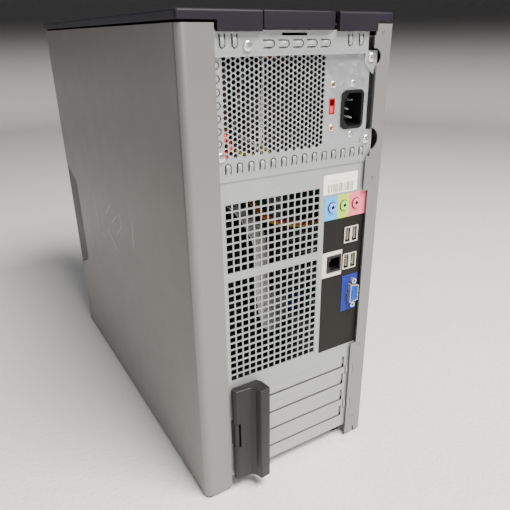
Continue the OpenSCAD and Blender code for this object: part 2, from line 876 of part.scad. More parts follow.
// Two double ports, each port a folded steel mouth
module usb_ports() {
    color(galvanised)
        for (at = usb_at)
            difference() {
                union() {
                    block([at[0] - 7.8, at[0] + 7.8], [y_panel - 16, y_panel + 0.8], [at[1] - 7.7, at[1] + 7.7]);
                    block([board_x, at[0] - 7.8], [y_panel - 16, y_panel - 4], [at[1] - 7.7, at[1] + 7.7]);
                }
                for (s = [-1, 1])
                    block([at[0] + s * 3.9 - 2.8, at[0] + s * 3.9 + 2.8], [y_panel - 13, y_panel + 2], [at[1] - 6.7, at[1] + 6.7]);
            }
}

module usb_tongues() {
    color("#e8e4d8")
        for (at = usb_at, s = [-1, 1])
            block([at[0] + s * 3.9 - 2.5, at[0] + s * 3.9 - 0.6], [y_panel - 13, y_panel - 1], [at[1] - 5.6, at[1] + 5.6]);
}

module network_jack() {
    color("#d9d2c6")
        difference() {
            union() {
                block([net_at[0] - 8, net_at[0] + 8], [y_panel - 16, y_panel + 0.8], [net_at[1] - 8, net_at[1] + 8]);
            }
            block([net_at[0] - 6.1, net_at[0] + 4.4], [y_panel - 12, y_panel + 2], [net_at[1] - 6, net_at[1] + 6]);
            block([net_at[0] + 4.3, net_at[0] + 6.4], [y_panel - 12, y_panel + 2], [net_at[1] - 3, net_at[1] + 3]);
        }
}

// Outline of the fifteen-way connector's mouth, long way up
module d_outline(grow) {
    polygon([[-4.2 - grow, -7.3 - grow], [4.2 + grow, -8.7 - grow], [4.2 + grow, 8.7 + grow], [-4.2 - grow, 7.3 + grow]]);
}

module screen_port() {
    color(steel)
        difference() {
            union() {
                rear_sheet(y_panel + 5, 6.2)
                    translate(screen_at)
                        d_outline(0.5);
                rear_sheet(y_panel - 1.2, 12)
                    translate(screen_at)
                        square([12, 31], center = true);
                block([board_x, screen_at[0] - 6], [y_panel - 13, y_panel - 3], [screen_at[1] - 15, screen_at[1] + 15]);
            }
            rear_sheet(y_panel + 6, 7)
                translate(screen_at)
                    d_outline(0);
            for (s = [-1, 1])
                rod_y(screen_at + [0, s * screw_span / 2], [y_panel - 9, y_panel], 1.6, 32);
        }
}

module screen_insert() {
    color("#2b6fd0")
        difference() {
            rear_sheet(y_panel + 4.4, 5.3)
                translate(screen_at)
                    d_outline(-0.1);
            for (r = [-1 : 1], i = [-2 : 2])
                rod_y(screen_at + [r * 2.3, i * 2.29 + (r == 0 ? 1.1 : 0)], [y_panel, y_panel + 5], 0.5, 24);
        }
}

module screen_jackscrews() {
    color("#d0d0cc")
        for (s = [-1, 1]) {
            at = screen_at + [0, s * screw_span / 2];
            difference() {
                union() {
                    rod_y(at, [y_panel - 8.5, y_panel - 1.2], 1.6, 32);
                    rod_y(at, [y_panel - 1.2, y_panel + 3.8], 2.75, 6);
                }
                rod_y(at, [y_panel - 4, y_panel + 4], 1.42, 32);
            }
        }
}

module serial_label() {
    color("#f4f0dc")
        rear_sheet(y_panel + 0.15, 0.15)
            translate([-68.5, 274.5])
                square([36.7, 16.8]);
}

// ---------- motherboard ----------

module motherboard() {
    color(pcb_green)
        block([board_x - 1.6, board_x], board_y, board_z);
}

module board_standoffs() {
    color("#c8b070")
        for (y = [-30, 80, 180], z = [40, 150, 264])
            rod_x([y, z], [-x_fixed, board_x - 1.6], 3, 6);
}

module board_sockets() {
    color("#e8e4d8") {
        for (i = [0 : slots - 1])
            difference() {
                block([board_x, board_x + 11], [100, 186], about(slot_line_z + i * slot_pitch + 6.5, 3.5));
                block([board_x + 3, board_x + 12], [102, 184], about(slot_line_z + i * slot_pitch + 6.5, 0.9));
            }
        for (y = [34, 46])
            difference() {
                block([board_x, board_x + 8], [y, y + 7], [118, 258]);
                block([board_x + 3, board_x + 9], [y + 2.6, y + 4.4], [121, 255]);
            }
        block([board_x, board_x + 9], [98, 107], [103, 151]);
        block([board_x, board_x + 10], [146, 156], [222, 232]);
        block([board_x, board_x + 12], [60, 70], [222, 262]);
        block([board_x, board_x + 5], [cpu_at[0] - 26, cpu_at[0] + 26], [cpu_at[1] - 26, cpu_at[1] + 26]);
    }
}

module board_parts() {
    color("#4a4a50") {
        block([board_x, board_x + 4], [62, 92], [96, 126]);
        for (y = [-8, 6, 20])
            rod_x([y, 80], [board_x, board_x + 1.8], 9 - abs(y - 6) / 4, 32);
        for (i = [0 : 5])
            rod_x([150 + (i % 2) * 12, 140 + i * 14], [board_x, board_x + 13], 4, 32);
        for (i = [0 : 3])
            rod_x([10, 190 + i * 14], [board_x, board_x + 12], 3.2, 32);
        block([board_x, board_x + 2.4], [-30, -14], [60, 76]);
    }
}

module memory_modules() {
    color("#2c6a48")
        for (y = [34, 46]) {
            block([board_x + 3.2, board_x + 33], [y + 2.9, y + 4.1], [121.4, 254.6]);
            for (k = [0 : 7])
                block([board_x + 13, board_x + 27], [y + 1.8, y + 2.9], [125 + k * 16, 136 + k * 16]);
        }
}

module cpu_heatsink() {
    x = board_x + 5;
    color("#b9bcc0") {
        block([x, x + 6], [cpu_at[0] - 36, cpu_at[0] + 36], [cpu_at[1] - 34, cpu_at[1] + 34]);
        for (i = [-6 : 6])
            block([x + 6, x + 36], [cpu_at[0] - 36, cpu_at[0] + 36], about(cpu_at[1] + i * 5.4, 0.7));
    }
}

module on_cpu() {
    translate([board_x + 56, cpu_at[0], cpu_at[1]])
        rotate([0, 0, 90])
            children();
}

module cpu_fan_frame() {
    color("#2a2a2c")
        on_cpu()
            fan_frame(70, 15, 33);
}

module cpu_fan_rotor() {
    color("#1f1f21")
        on_cpu()
            fan_rotor(15, 32);
}

// ---------- drives ----------

module drive_cage() {
    color(galvanised)
        difference() {
            union() {
                for (s = [-1, 1])
                    block(s > 0 ? [75, 76] : [-76, -75], [y_front + sheet, -28], [bay2_z[0] - 3, roof_z]);
                block([-75, 75], [y_front + sheet, -28], [bay2_z[0] - 3, bay2_z[0] - 2]);
                for (s = [-1, 1])
                    block(s > 0 ? [51, 52] : [-52, -51], [y_front + sheet, -30], [258, bay2_z[0] - 3]);
            }
            for (y = [-150, -70])
                for (z = [318, 362])
                    rod_x([y, z], [-80, 80], 1.9, 32);
            for (y = [-150, -90, -60])
                rod_x([y, 269], [-60, 60], 1.9, 32);
        }
}

module optical_drive() {
    z = [bay_z[0] + 0.9, bay_z[1] - 0.9];
    color("#b4b6b8")
        difference() {
            block([-73, 73], [y_nose + 10, -36], z);
            block([-72, 72], [y_nose + 9, -37], z + [1, -1]);
            for (s = [-1, 1], y = [-150, -70])
                rod_x([y, 362], s > 0 ? [70, 80] : [-80, -70], 1.4, 32);
        }
}

module drive_front() {
    color("#333236")
        difference() {
            block([-74, 74], [y_nose + 4.7, y_nose + 10], bay_z + [0.4, -0.4]);
            block([-66, 66], [y_nose + 4, y_nose + 11], [363, 375]);
            block([50, 64], [y_nose + 4, y_nose + 11], [354, 358.6]);
            rod_y([-56, 356.3], [y_nose + 4, y_nose + 11], 1.8);
        }
}

module disc_tray() {
    z = 368.5;
    color("#38383b") {
        difference() {
            block([-64.5, 64.5], [y_nose + 6.4, -78], [z - 2.5, z + 2.5]);
            translate([0, y_nose + 74, z - 0.5])
                cylinder(r = 60.5, h = 5, $fn = 96);
            block([-14, 14], [y_nose + 60, -77], [z - 4, z + 4]);
        }
        block([-65.6, 65.6], [y_nose + 3.4, y_nose + 6.4], [363.4, 374.6]);
    }
}

module eject_button() {
    color("#4a494d")
        block([50.35, 63.65], [y_nose + 3.6, y_nose + 14], [354.35, 358.25]);
}

module hard_drive() {
    color("#8c8f92")
        difference() {
            block([-50.8, 50.8], [-180, -33], [262, 288]);
            for (s = [-1, 1], y = [-150, -90, -60])
                rod_x([y, 269], s > 0 ? [46, 55] : [-55, -46], 1.5, 32);
        }
}

module bay_blanks() {
    color("#333236") {
        difference() {
            block([-74, 74], [y_nose + 4.7, y_nose + 12], bay2_z + [0.4, -0.4]);
            block([-72, 72], [y_nose + 7, y_nose + 13], bay2_z + [2.4, -2.4]);
        }
        difference() {
            block([-50.6, 50.6], [y_nose + 2.8, y_nose + 10], bay3_z + [0.4, -0.4]);
            block([-48.6, 48.6], [y_nose + 5, y_nose + 11], bay3_z + [2.4, -2.4]);
        }
    }
}

// ---------- front controls ----------

module power_button() {
    color("#8f9297")
        union() {
            rod_y(button_at, [y_nose + 0.5, y_nose + 5.5], 11, 64);
            rod_y(button_at, [y_nose + 5.4, y_nose + 13.2], 3, 32);
        }
}

module front_board() {
    y = y_nose + 16;
    color(pcb_green)
        difference() {
            union() {
                block([-26, 26], [y, y + 1.6], [64, 250]);
                rod_y(button_at, [y - 1.2, y], 3, 32);
                for (x = [-16, 2])
                    block([x, x + 14], [y_nose + 5, y], [82, 89]);
                rod_y([0, 72], [y_nose + 6, y], 4, 32);
                rod_y([20, button_at[1]], [y_nose + 1, y], 1.5, 32);
            }
            for (x = [-16, 2])
                block([x + 0.8, x + 13.2], [y_nose + 4, y - 1], [82.8, 88.2]);
            rod_y([0, 72], [y_nose + 5, y - 1], 1.8, 32);
        }
}

module port_flap() {
    color("#3b3a3e") {
        difference() {
            union() {
                block([-flap_x + 0.4, flap_x - 0.4], [y_nose + 0.75, y_nose + 3.1], [flap_axis[1], flap_z[1] - 0.4]);
                rod_x(flap_axis, [-flap_x + 0.4, flap_x - 0.4], 1, 32);
            }
            rod_y([0, flap_z[1] - 5], [y_nose, y_nose + 1.6], 5, 48);
        }
        rod_x(flap_axis, [-flap_x - 1.8, flap_x + 1.8], 0.8, 32);
    }
}

// ---------- cables inside ----------

module ribbon_cable() {
    color("#c4c2bd")
        sweep(smooth(ribbon_route, 4), [[-20, -0.5], [-20, 0.5], [20, 0.5], [20, -0.5]],
              [for (i = [0 : 4 * (len(ribbon_route) - 1)])
                  mix([0.7, -0.71, 0], [0, 0, -1], max(0, min(1, (i - 28) / 16)))]);
}

module power_leads() {
    color("#b98a3a")
        for (p = lead_routes)
            sweep(smooth(p, 5), ring(3, 8));
}

base_pan();
fixed_side();
top_plate();
rear_panel();
front_panel();
feet();
hinge_hooks();
side_cover();
cover_pins();
top_cap();
cover_latch();
latch_spring();
front_bezel();
card_door();
door_bracket();
door_pin();
slot_covers();
psu_face();
psu_shell();
psu_screws();
psu_rivets();
psu_fan_frame();
psu_fan_rotor();
psu_board();
inlet_housing();
inlet_pins();
voltage_switch();
voltage_slider();
io_plate();
port_labels();
audio_jacks();
usb_ports();
usb_tongues();
network_jack();
screen_port();
screen_insert();
screen_jackscrews();
motherboard();
board_standoffs();
board_sockets();
board_parts();
memory_modules();
cpu_heatsink();
cpu_fan_frame();
cpu_fan_rotor();
drive_cage();
optical_drive();
drive_front();
disc_tray();
eject_button();
hard_drive();
bay_blanks();
power_button();
front_board();
port_flap();
serial_label();
ribbon_cable();
power_leads();
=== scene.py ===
import bmesh
import bpy
import math
from mathutils import Matrix, Vector


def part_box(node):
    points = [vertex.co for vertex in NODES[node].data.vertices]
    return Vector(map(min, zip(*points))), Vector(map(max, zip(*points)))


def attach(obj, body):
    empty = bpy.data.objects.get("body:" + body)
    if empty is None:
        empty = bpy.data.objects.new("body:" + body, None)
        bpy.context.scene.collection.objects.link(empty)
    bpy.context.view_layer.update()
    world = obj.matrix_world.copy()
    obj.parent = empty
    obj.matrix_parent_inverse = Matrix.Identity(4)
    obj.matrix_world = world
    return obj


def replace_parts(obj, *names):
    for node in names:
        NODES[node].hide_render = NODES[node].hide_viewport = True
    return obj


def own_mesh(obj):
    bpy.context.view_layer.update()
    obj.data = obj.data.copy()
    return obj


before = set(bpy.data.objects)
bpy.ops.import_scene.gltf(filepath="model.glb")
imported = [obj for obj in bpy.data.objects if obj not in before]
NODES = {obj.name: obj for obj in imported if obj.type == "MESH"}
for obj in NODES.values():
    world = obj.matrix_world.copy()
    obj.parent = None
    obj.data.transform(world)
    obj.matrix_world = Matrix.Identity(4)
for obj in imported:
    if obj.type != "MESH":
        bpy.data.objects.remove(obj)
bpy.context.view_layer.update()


# ---------- Camera, floor and light ----------
# The tower stands with its back and its opening side to the camera, on a plain pale floor,
# under one broad soft light above and a weaker one from the side.

MM = 0.001
shell_low, shell_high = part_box("side_cover")
flange_y = shell_high.y
side_x = shell_high.x

eye = Vector((0.2333, flange_y + 0.3313, 0.3967))
sight = Vector((-0.4760, -0.7800, -0.4062))
lens = bpy.data.cameras.new("camera")
lens.lens = 36.64
lens.sensor_width = 36
lens.shift_x = -0.0132
lens.shift_y = 0.0255
lens.clip_start = 0.01
camera = bpy.data.objects.new("camera", lens)
camera.matrix_world = (Matrix.Translation(eye)
                       @ sight.to_track_quat("-Z", "Y").to_matrix().to_4x4()
                       @ Matrix.Rotation(math.radians(-0.45), 4, "Z"))
bpy.context.scene.collection.objects.link(camera)
bpy.context.scene.camera = camera


class Socket:
    """A value in a material; arithmetic on it adds Math nodes."""

    def __init__(self, finish, socket):
        self.finish = finish
        self.socket = socket

    def math(self, operation, *values):
        return self.finish.node("ShaderNodeMath", {"operation": operation}, dict(enumerate(values)))

    def __add__(self, other):
        return self.math("ADD", self, other)

    def __radd__(self, other):
        return self.math("ADD", other, self)

    def __sub__(self, other):
        return self.math("SUBTRACT", self, other)

    def __rsub__(self, other):
        return self.math("SUBTRACT", other, self)

    def __mul__(self, other):
        return self.math("MULTIPLY", self, other)

    def __rmul__(self, other):
        return self.math("MULTIPLY", other, self)

    def __truediv__(self, other):
        return self.math("DIVIDE", self, other)

    def __pow__(self, other):
        return self.math("POWER", self, other)

    def __gt__(self, other):
        return self.math("GREATER_THAN", self, other)

    def __lt__(self, other):
        return self.math("LESS_THAN", self, other)

    def clamped(self):
        return self.finish.node("ShaderNodeClamp", {}, {"Value": self})

    def smooth(self, low, high):
        """0 below low, 1 above high, and smooth between them."""
        return self.finish.node("ShaderNodeMapRange", {"interpolation_type": "SMOOTHSTEP"},
                                {"Value": self, "From Min": low, "From Max": high})


class Finish:
    """One material on a Principled shader: constants on its own sockets, the rest fed by nodes."""

    def __init__(self, name, **fixed):
        self.material = bpy.data.materials.new(name)
        self.material.use_nodes = True
        self.tree = self.material.node_tree
        self.shader = self.tree.nodes["Principled BSDF"]
        for key, value in fixed.items():
            colour = isinstance(value, tuple)
            self.shader.inputs[key.replace("_", " ")].default_value = (*value, 1) if colour else value
        self.here = self.node("ShaderNodeTexCoord", {}, {}, "Object")

    def node(self, kind, settings, sockets, out=0):
        """Adds any node: its settings first, then the values or links of its sockets."""
        node = self.tree.nodes.new(kind)
        for key, value in settings.items():
            setattr(node, key, value)
        for key, value in sockets.items():
            if isinstance(value, Socket):
                self.tree.links.new(value.socket, node.inputs[key])
            elif isinstance(value, tuple) and node.inputs[key].type == "RGBA":
                node.inputs[key].default_value = (*value, 1)
            else:
                node.inputs[key].default_value = value
        return Socket(self, node.outputs[out])

    def feed(self, name, value):
        self.tree.links.new(value.socket, self.shader.inputs[name])

    def axes(self):
        """The place on the object as X, Y and Z in metres."""
        return [self.node("ShaderNodeSeparateXYZ", {}, {0: self.here}, i) for i in range(3)]

    def noise(self, scale, detail=3.0, stretch=(1, 1, 1)):
        place = self.node("ShaderNodeVectorMath", {"operation": "MULTIPLY"}, {0: self.here, 1: stretch})
        return self.node("ShaderNodeTexNoise", {}, {"Vector": place, "Scale": scale, "Detail": detail})

    def cells(self, scale, out="Color", feature="F1"):
        return self.node("ShaderNodeTexVoronoi", {"feature": feature},
                         {"Vector": self.here, "Scale": scale}, out)

    def blend(self, mask, a, b):
        """Colour a where mask is 0 and b where it is 1."""
        return self.node("ShaderNodeMix", {"data_type": "RGBA"}, {"Factor": mask, "A": a, "B": b}, 2)

    def bump(self, height, depth):
        """Feeds the normal with a height; depth is what a height of 1 stands for, in metres."""
        relief = self.node("ShaderNodeBump", {}, {"Height": height, "Distance": depth})
        self.feed("Normal", relief)


table = Finish("floor", Roughness=0.7)
table_z = table.axes()[2]
mottle = table.noise(3, 4) * 0.6 + table.noise(60, 5) * 0.4
cloth = table.blend(mottle, (0.80, 0.775, 0.74), (0.90, 0.885, 0.86))
table.feed("Base Color", table.blend(table_z.smooth(0.02, 0.5), cloth, (0.014, 0.013, 0.014)))
table.bump(table.noise(240, 5) + 0.5 * table.noise(50, 3), 0.0012)
floor_r = 2.2
rise_r = 0.5
floor_sides = 96
rise = [(floor_r + rise_r * math.sin(a), rise_r - rise_r * math.cos(a))
        for a in (math.radians(9 * i) for i in range(11))]
rim = [(0.001, 0)] + rise + [(floor_r + rise_r, 2.6)]
turn = [2 * math.pi * k / floor_sides for k in range(floor_sides)]
bowl = bpy.data.meshes.new("floor")
bowl.from_pydata([(r * math.cos(a), r * math.sin(a), z) for r, z in rim for a in turn], [],
                 [tuple(i * floor_sides + j for j in (k, (k + 1) % floor_sides,
                                                      floor_sides + (k + 1) % floor_sides, floor_sides + k))
                  for i in range(len(rim) - 1) for k in range(floor_sides)])
bowl.shade_smooth()
bowl.materials.append(table.material)
floor = bpy.data.objects.new("floor", bowl)
bpy.context.scene.collection.objects.link(floor)

sky = bpy.data.worlds.new("studio")
bpy.context.scene.world = sky
sky.use_nodes = True
sky.node_tree.nodes["Background"].inputs["Color"].default_value = (0.93, 0.95, 1.0, 1)
sky.node_tree.nodes["Background"].inputs["Strength"].default_value = 0.30


def soft_light(name, place, target, size, watts, colour):
    lamp = bpy.data.lights.new(name, "AREA")
    lamp.shape = "RECTANGLE"
    lamp.size, lamp.size_y = size
    lamp.energy = watts
    lamp.color = colour
    holder = bpy.data.objects.new(name, lamp)
    holder.location = place
    holder.rotation_euler = (Vector(target) - Vector(place)).to_track_quat("-Z", "Y").to_euler()
    bpy.context.scene.collection.objects.link(holder)


soft_light("ceiling_light", (-0.3, 1.0, 1.7), (0, 0.1, 0.2), (1.0, 0.7), 90, (1.0, 0.985, 0.955))
soft_light("window_light", (0.55, 1.9, 0.75), (0, 0.2, 0.25), (0.7, 0.6), 11, (0.93, 0.97, 1.0))
soft_light("glancing_light", (1.25, -1.75, 0.55), (0.09, 0.2, 0.3), (0.4, 1.2), 3, (0.97, 0.98, 1.0))


# ---------- Steel chassis ----------
# Base, top, front and drive cage are pressed from one gauge of zinc-coated steel,
# with the coating's dull spangle and the wipe marks of the press shop.

def round_edges(piece, width, segments=2):
    """Rounds every edge: flat faces are joined up first, and the last step keeps them flat."""
    join = piece.modifiers.new("join_flat_faces", "DECIMATE")
    join.decimate_type = "DISSOLVE"
    join.angle_limit = math.radians(1)
    edge = piece.modifiers.new("rounded_edges", "BEVEL")
    edge.width = width * MM
    edge.segments = segments
    edge.limit_method = "ANGLE"
    edge.angle_limit = math.radians(35)
    edge.harden_normals = False
    piece.modifiers.new("flat_shading", "WEIGHTED_NORMAL").keep_sharp = True


def dress(node, finish, rounding=0.0, segments=2):
    """Gives a CAD node its material and, where a width is given, rounds its edges."""
    mesh = NODES[node].data
    mesh.materials.clear()
    mesh.materials.append(finish.material)
    if rounding:
        round_edges(NODES[node], rounding, segments)


def zinc_finish(name, dark, light, roughness):
    zinc = Finish(name, Metallic=0.85)
    spangle = zinc.node("ShaderNodeSeparateColor", {}, {0: zinc.cells(220)}, 0)
    wipe = zinc.noise(26, 4, (1, 1, 0.2))
    zinc.feed("Base Color", zinc.blend(0.55 * spangle + 0.45 * wipe, dark, light))
    zinc.feed("Roughness", roughness + 0.12 * (spangle - 0.5) + 0.2 * (zinc.noise(900, 2) - 0.5))
    zinc.bump(zinc.noise(1500, 2) * 0.6 + spangle * 0.4, 0.00002)
    return zinc


zinc_steel = zinc_finish("zinc_steel", (0.42, 0.43, 0.43), (0.62, 0.63, 0.62), 0.42)
for part in ("base_pan", "top_plate", "front_panel", "hinge_hooks", "drive_cage", "psu_shell",
             "optical_drive"):
    dress(part, zinc_steel)

# The back is a lighter, smoother coated steel: faint rolling streaks, lighter and browner patches low down,
# painted shade in the gap under each slot cover and fine rubs where plugs have been pushed in.
back_steel = Finish("back_steel", Metallic=0.35, Coat_Weight=0.15)
streak = back_steel.noise(90, 4, (1, 1, 0.06))
cloud = back_steel.noise(9, 4)
rub = back_steel.noise(240, 2, (0.15, 1, 1)).smooth(0.66, 0.72) * back_steel.noise(25, 2).smooth(0.45, 0.6)
back_x, back_y, back_z = back_steel.axes()
# Lighter, browner and rougher in patches towards the bottom.
low_pale_patches = (1 - back_z.smooth(0.0, 0.16)) * 0.35 * back_steel.noise(70, 5)
back_tone = back_steel.blend((0.5 * streak + 0.5 * cloud).clamped(),
                             (0.305, 0.313, 0.316), (0.390, 0.400, 0.399))
back_tone = back_steel.blend(rub * 0.35, back_tone, (0.74, 0.74, 0.72))
slot_line = 28.25 * MM
slot_pitch = 20.32 * MM
# Painted shade: a dark band is painted in the gap under each slot cover.
slot_step = back_z.math("FRACT", (back_z - slot_line) / slot_pitch)
gap_shade = ((slot_step < 0.11) * (back_z > 0.028) * (back_z < 0.1)
             * (back_x > -0.068) * (back_x < 0.061) * (back_y < 0.20823))
back_tone = back_steel.blend(gap_shade * 0.9, back_tone, (0.05, 0.042, 0.036))
back_steel.feed("Base Color", back_steel.blend(low_pale_patches, back_tone, (0.56, 0.53, 0.48)))
back_steel.feed("Roughness", 0.40 + 0.16 * streak + 0.2 * low_pale_patches - 0.08 * rub)
back_steel.bump(streak * 0.5 + back_steel.noise(700, 3) * 0.5, 0.00003)
dress("rear_panel", back_steel)
dress("slot_covers", back_steel)


# ---------- Spring contact tabs ----------
# Round-ended tongues are slit free of the back sheet round the power supply and dished
# outwards, so that they press on the supply and on the cover and earth them.

def make_piece(name, build, finish, body, sharp=35):
    """A mesh from a Build, shaded smooth up to the sharp angle, riding on a body."""
    mesh = bpy.data.meshes.new(name)
    mesh.from_pydata([tuple(v) for v in build.verts], [], build.faces)
    shape = bmesh.new()
    shape.from_mesh(mesh)
    bmesh.ops.recalc_face_normals(shape, faces=shape.faces)
    shape.to_mesh(mesh)
    shape.free()
    mesh.shade_smooth()
    mesh.set_sharp_from_angle(angle=math.radians(sharp))
    mesh.materials.append(finish.material)
    piece = bpy.data.objects.new(name, mesh)
    bpy.context.scene.collection.objects.link(piece)
    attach(piece, body)
    return piece


class Build:
    """Collects the points and faces of one piece."""

    def __init__(self):
        self.verts = []
        self.faces = []

    def grid(self, rows, closed_rows=False, cap_ends=False):
        """Joins equal rows of points into a skin; each row may close on itself."""
        base = len(self.verts)
        n = len(rows[0])
        for row in rows:
            self.verts.extend(row)
        last = n if closed_rows else n - 1
        for i in range(len(rows) - 1):
            for j in range(last):
                a = base + i * n + j
                b = base + i * n + (j + 1) % n
                self.faces.append((a, b, b + n, a + n))
        if cap_ends:
            self.faces.append(tuple(base + j for j in range(n))[::-1])
            self.faces.append(tuple(base + (len(rows) - 1) * n + j for j in range(n)))

    def lathe(self, profile, place, steps=32):
        """Turns (radius, height) pairs round an axis; place maps a local point to the object."""
        rows = [[place(Vector((r * math.cos(t), r * math.sin(t), h)))
                 for t in (2 * math.pi * k / steps for k in range(steps))] for r, h in profile]
        self.grid(rows, closed_rows=True, cap_ends=True)


panel_y = flange_y - 3 * MM
tab_slit = 1.1 * MM


def tab_places():
    """Each tab's round end, the way it points, its length and its width, all in the back's plane."""
    for k in range(5):
        yield (16.7 - 12.5 * k, 392.4), (-1, 0), 10, 6
    for x in (58.9, 49.4, -52, -62.7):
        yield (x, 389.6), (0, -1), 9.5, 5.2
    for k in range(8):
        yield (61.4, 379.6 - 8.74 * k), (-1, 0), 9, 6
    for k in range(14):
        yield (57.3 - 9.81 * k, 312.6), (0, 1), 8.4, 5.6


tabs = Build()
slit_shade_strips = Build()
for end, way, length, width in tab_places():
    tip = Vector((end[0], 0, end[1])) * MM
    ahead = Vector((way[0], 0, way[1]))
    across = Vector((-way[1], 0, way[0]))
    half = width * MM / 2 - tab_slit - 0.05 * MM
    run = (length - 1.4) * MM
    rows = []
    for i in range(15):
        t = i / 14
        back = run * (1 - t) + tab_slit * t
        round_off = max(0.0, 1 - (max(0.0, half - (back - tab_slit)) / half) ** 2) ** 0.5
        reach = half * max(round_off, 0.02)
        lift = 1.15 * MM * (math.sin(math.pi * min(1.0, t * 1.05) ** 1.1)) ** 0.8 if 0 < t < 0.95 else 0
        row = []
        for j in range(9):
            s = -1 + j / 4
            crown = lift * (1 - 0.45 * s * s)
            out = Vector((0, panel_y + 0.05 * MM + crown, 0))
            row.append(tip - ahead * back + across * reach * s + out)
        rows.append(row)
    tabs.grid(rows)
    centre = tab_slit + half
    rows = []
    for r in (half - 0.2 * MM, half + 0.6 * MM):
        bend = [(centre - r * math.cos(a), r * math.sin(a))
                for a in (math.radians(15 * k - 90) for k in range(13))]
        rows.append([tip - ahead * back + across * side + Vector((0, panel_y + 0.03 * MM, 0))
                     for back, side in [(run, -r)] + bend + [(run, r)]])
    slit_shade_strips.grid(rows)
make_piece("contact_tabs", tabs, back_steel, "chassis", 60)

# The slit round each tongue is painted shade: a dark strip laid on the sheet, which stays closed under it.
painted_slit_shade = Finish("painted_slit_shade", Specular_IOR_Level=0.1)
slit_shade_mottle = painted_slit_shade.noise(300, 3)
painted_slit_shade.feed("Base Color", painted_slit_shade.blend(slit_shade_mottle, (0.035, 0.036, 0.037), (0.075, 0.075, 0.075)))
painted_slit_shade.feed("Roughness", 0.6 + 0.2 * (slit_shade_mottle - 0.5))
make_piece("tab_slit_shade", slit_shade_strips, painted_slit_shade, "chassis", 60)


# ---------- Painted shells ----------
# The opening cover and the fixed side are folded sheet in satin grey paint with a fine metal
# flake. The cover's broad face is scuffed and scratched where the tower has been handled.

def paint_finish(name, dark, light):
    paint = Finish(name, Metallic=0.35, Coat_Weight=0.25, Coat_Roughness=0.22)
    flake = paint.noise(5200, 1)
    cloud = paint.noise(5, 4)
    paint.tone = paint.blend((0.35 * flake + 0.65 * cloud).clamped(), dark, light)
    paint.rough = 0.36 + 0.10 * cloud + 0.08 * (paint.noise(60, 3) - 0.5)
    paint.relief = paint.noise(620, 2) * 0.25 + paint.noise(7, 1) * 14
    return paint


def scratch(paint, start, end, width):
    """A mask, 1 along a line between two (y, z) points on a side face, fading at its edge."""
    a = Vector((0, *start)) * MM
    b = Vector((0, *end)) * MM
    flat = paint.node("ShaderNodeVectorMath", {"operation": "MULTIPLY"}, {0: paint.here, 1: (0, 1, 1)})
    rel = paint.node("ShaderNodeVectorMath", {"operation": "SUBTRACT"}, {0: flat, 1: a})
    along = paint.node("ShaderNodeVectorMath", {"operation": "DOT_PRODUCT"},
                       {0: rel, 1: (b - a) / (b - a).length_squared}, "Value").clamped()
    foot = paint.node("ShaderNodeVectorMath", {"operation": "SCALE"}, {0: b - a, "Scale": along})
    gap = paint.node("ShaderNodeVectorMath", {"operation": "DISTANCE"}, {0: rel, 1: foot}, "Value")
    return 1 - gap.smooth(width * MM * 0.3, width * MM)


def scratches(paint, lines):
    """One mask for several scratches, each (y, z, y, z, width)."""
    mask = 0.0
    for y0, z0, y1, z1, width in lines:
        mask = scratch(paint, (y0, z0), (y1, z1), width) + mask
    return mask.clamped()


cover_paint = paint_finish("cover_paint", (0.175, 0.170, 0.164), (0.225, 0.219, 0.212))
bare_marks = scratches(cover_paint, (
    (-66, 232, -64, 185, 1.2), (-47, 218, -38, 213, 0.8), (-38, 213, -41, 201, 0.8), (3, 235, -23, 218, 0.9),
    (19, 226, -1, 213, 1.1), (32, 232, 35, 219, 0.9), (35, 219, 12, 203, 0.9), (-22, 200, 6, 184, 1.5),
    (-60, 185, -30, 186, 0.6), (72, 233, 69, 208, 1.6)))
marks = bare_marks * (0.55 + 0.45 * cover_paint.noise(900, 2))
dark_marks = scratches(cover_paint, (
    (30, 199, 10, 185, 1.1), (39, 187, 65, 185, 1.0), (74, 186, 104, 187, 1.1)))
cover_x, _, cover_z = cover_paint.axes()
# Painted shade: the broad face is painted darker and browner, most of all towards its top.
side_face_shade = (cover_x > side_x - 0.4 * MM) * (0.48 + 0.40 * cover_z.smooth(0.05, 0.3))
side_shaded_tone = cover_paint.blend(side_face_shade, cover_paint.tone, (0.085, 0.076, 0.070))
cover_tone = cover_paint.blend(marks * 0.75, side_shaded_tone, (0.42, 0.41, 0.39))
cover_paint.feed("Base Color", cover_paint.blend(dark_marks * 0.7, cover_tone, (0.10, 0.095, 0.09)))
cover_paint.feed("Roughness", cover_paint.rough + 0.15 * marks)
cover_paint.bump(cover_paint.relief - 1.2 * marks, 0.00003)
dress("side_cover", cover_paint)


def plain_paint(name, dark, light):
    """The same paint where nothing has marked it."""
    paint = paint_finish(name, dark, light)
    paint.feed("Base Color", paint.tone)
    paint.feed("Roughness", paint.rough)
    paint.bump(paint.relief, 0.00003)
    return paint


side_paint = plain_paint("side_paint", (0.195, 0.193, 0.188), (0.240, 0.237, 0.231))
dress("fixed_side", side_paint)
dress("cover_pins", zinc_steel)

for part in ("side_cover", "fixed_side"):
    round_edges(NODES[part], 0.3)


def turned(points, build, at, steps=28):
    """A lathed form on the back: (radius, height) in mm, its height standing out along +Y."""
    build.lathe([(r * MM, h * MM) for r, h in points], lambda p: at + Vector((p.x, p.z, p.y)), steps)


# Small spot-weld dimples show on the fixed side's flange.
welds = Build()
for x, z in ((-82.5, 399.5), (-83.2, 284), (-82.4, 113.6), (-82.4, 23.3)):
    weld_at = Vector((x * MM, flange_y, z * MM))
    turned([(1.9, -0.2), (1.6, 0.12), (1.1, 0.2), (0.7, 0.06), (0.05, 0.02)], welds, weld_at, 20)
weld_grey = plain_paint("weld_marks", (0.13, 0.128, 0.124), (0.17, 0.168, 0.164))
make_piece("spot_welds", welds, weld_grey, "chassis")

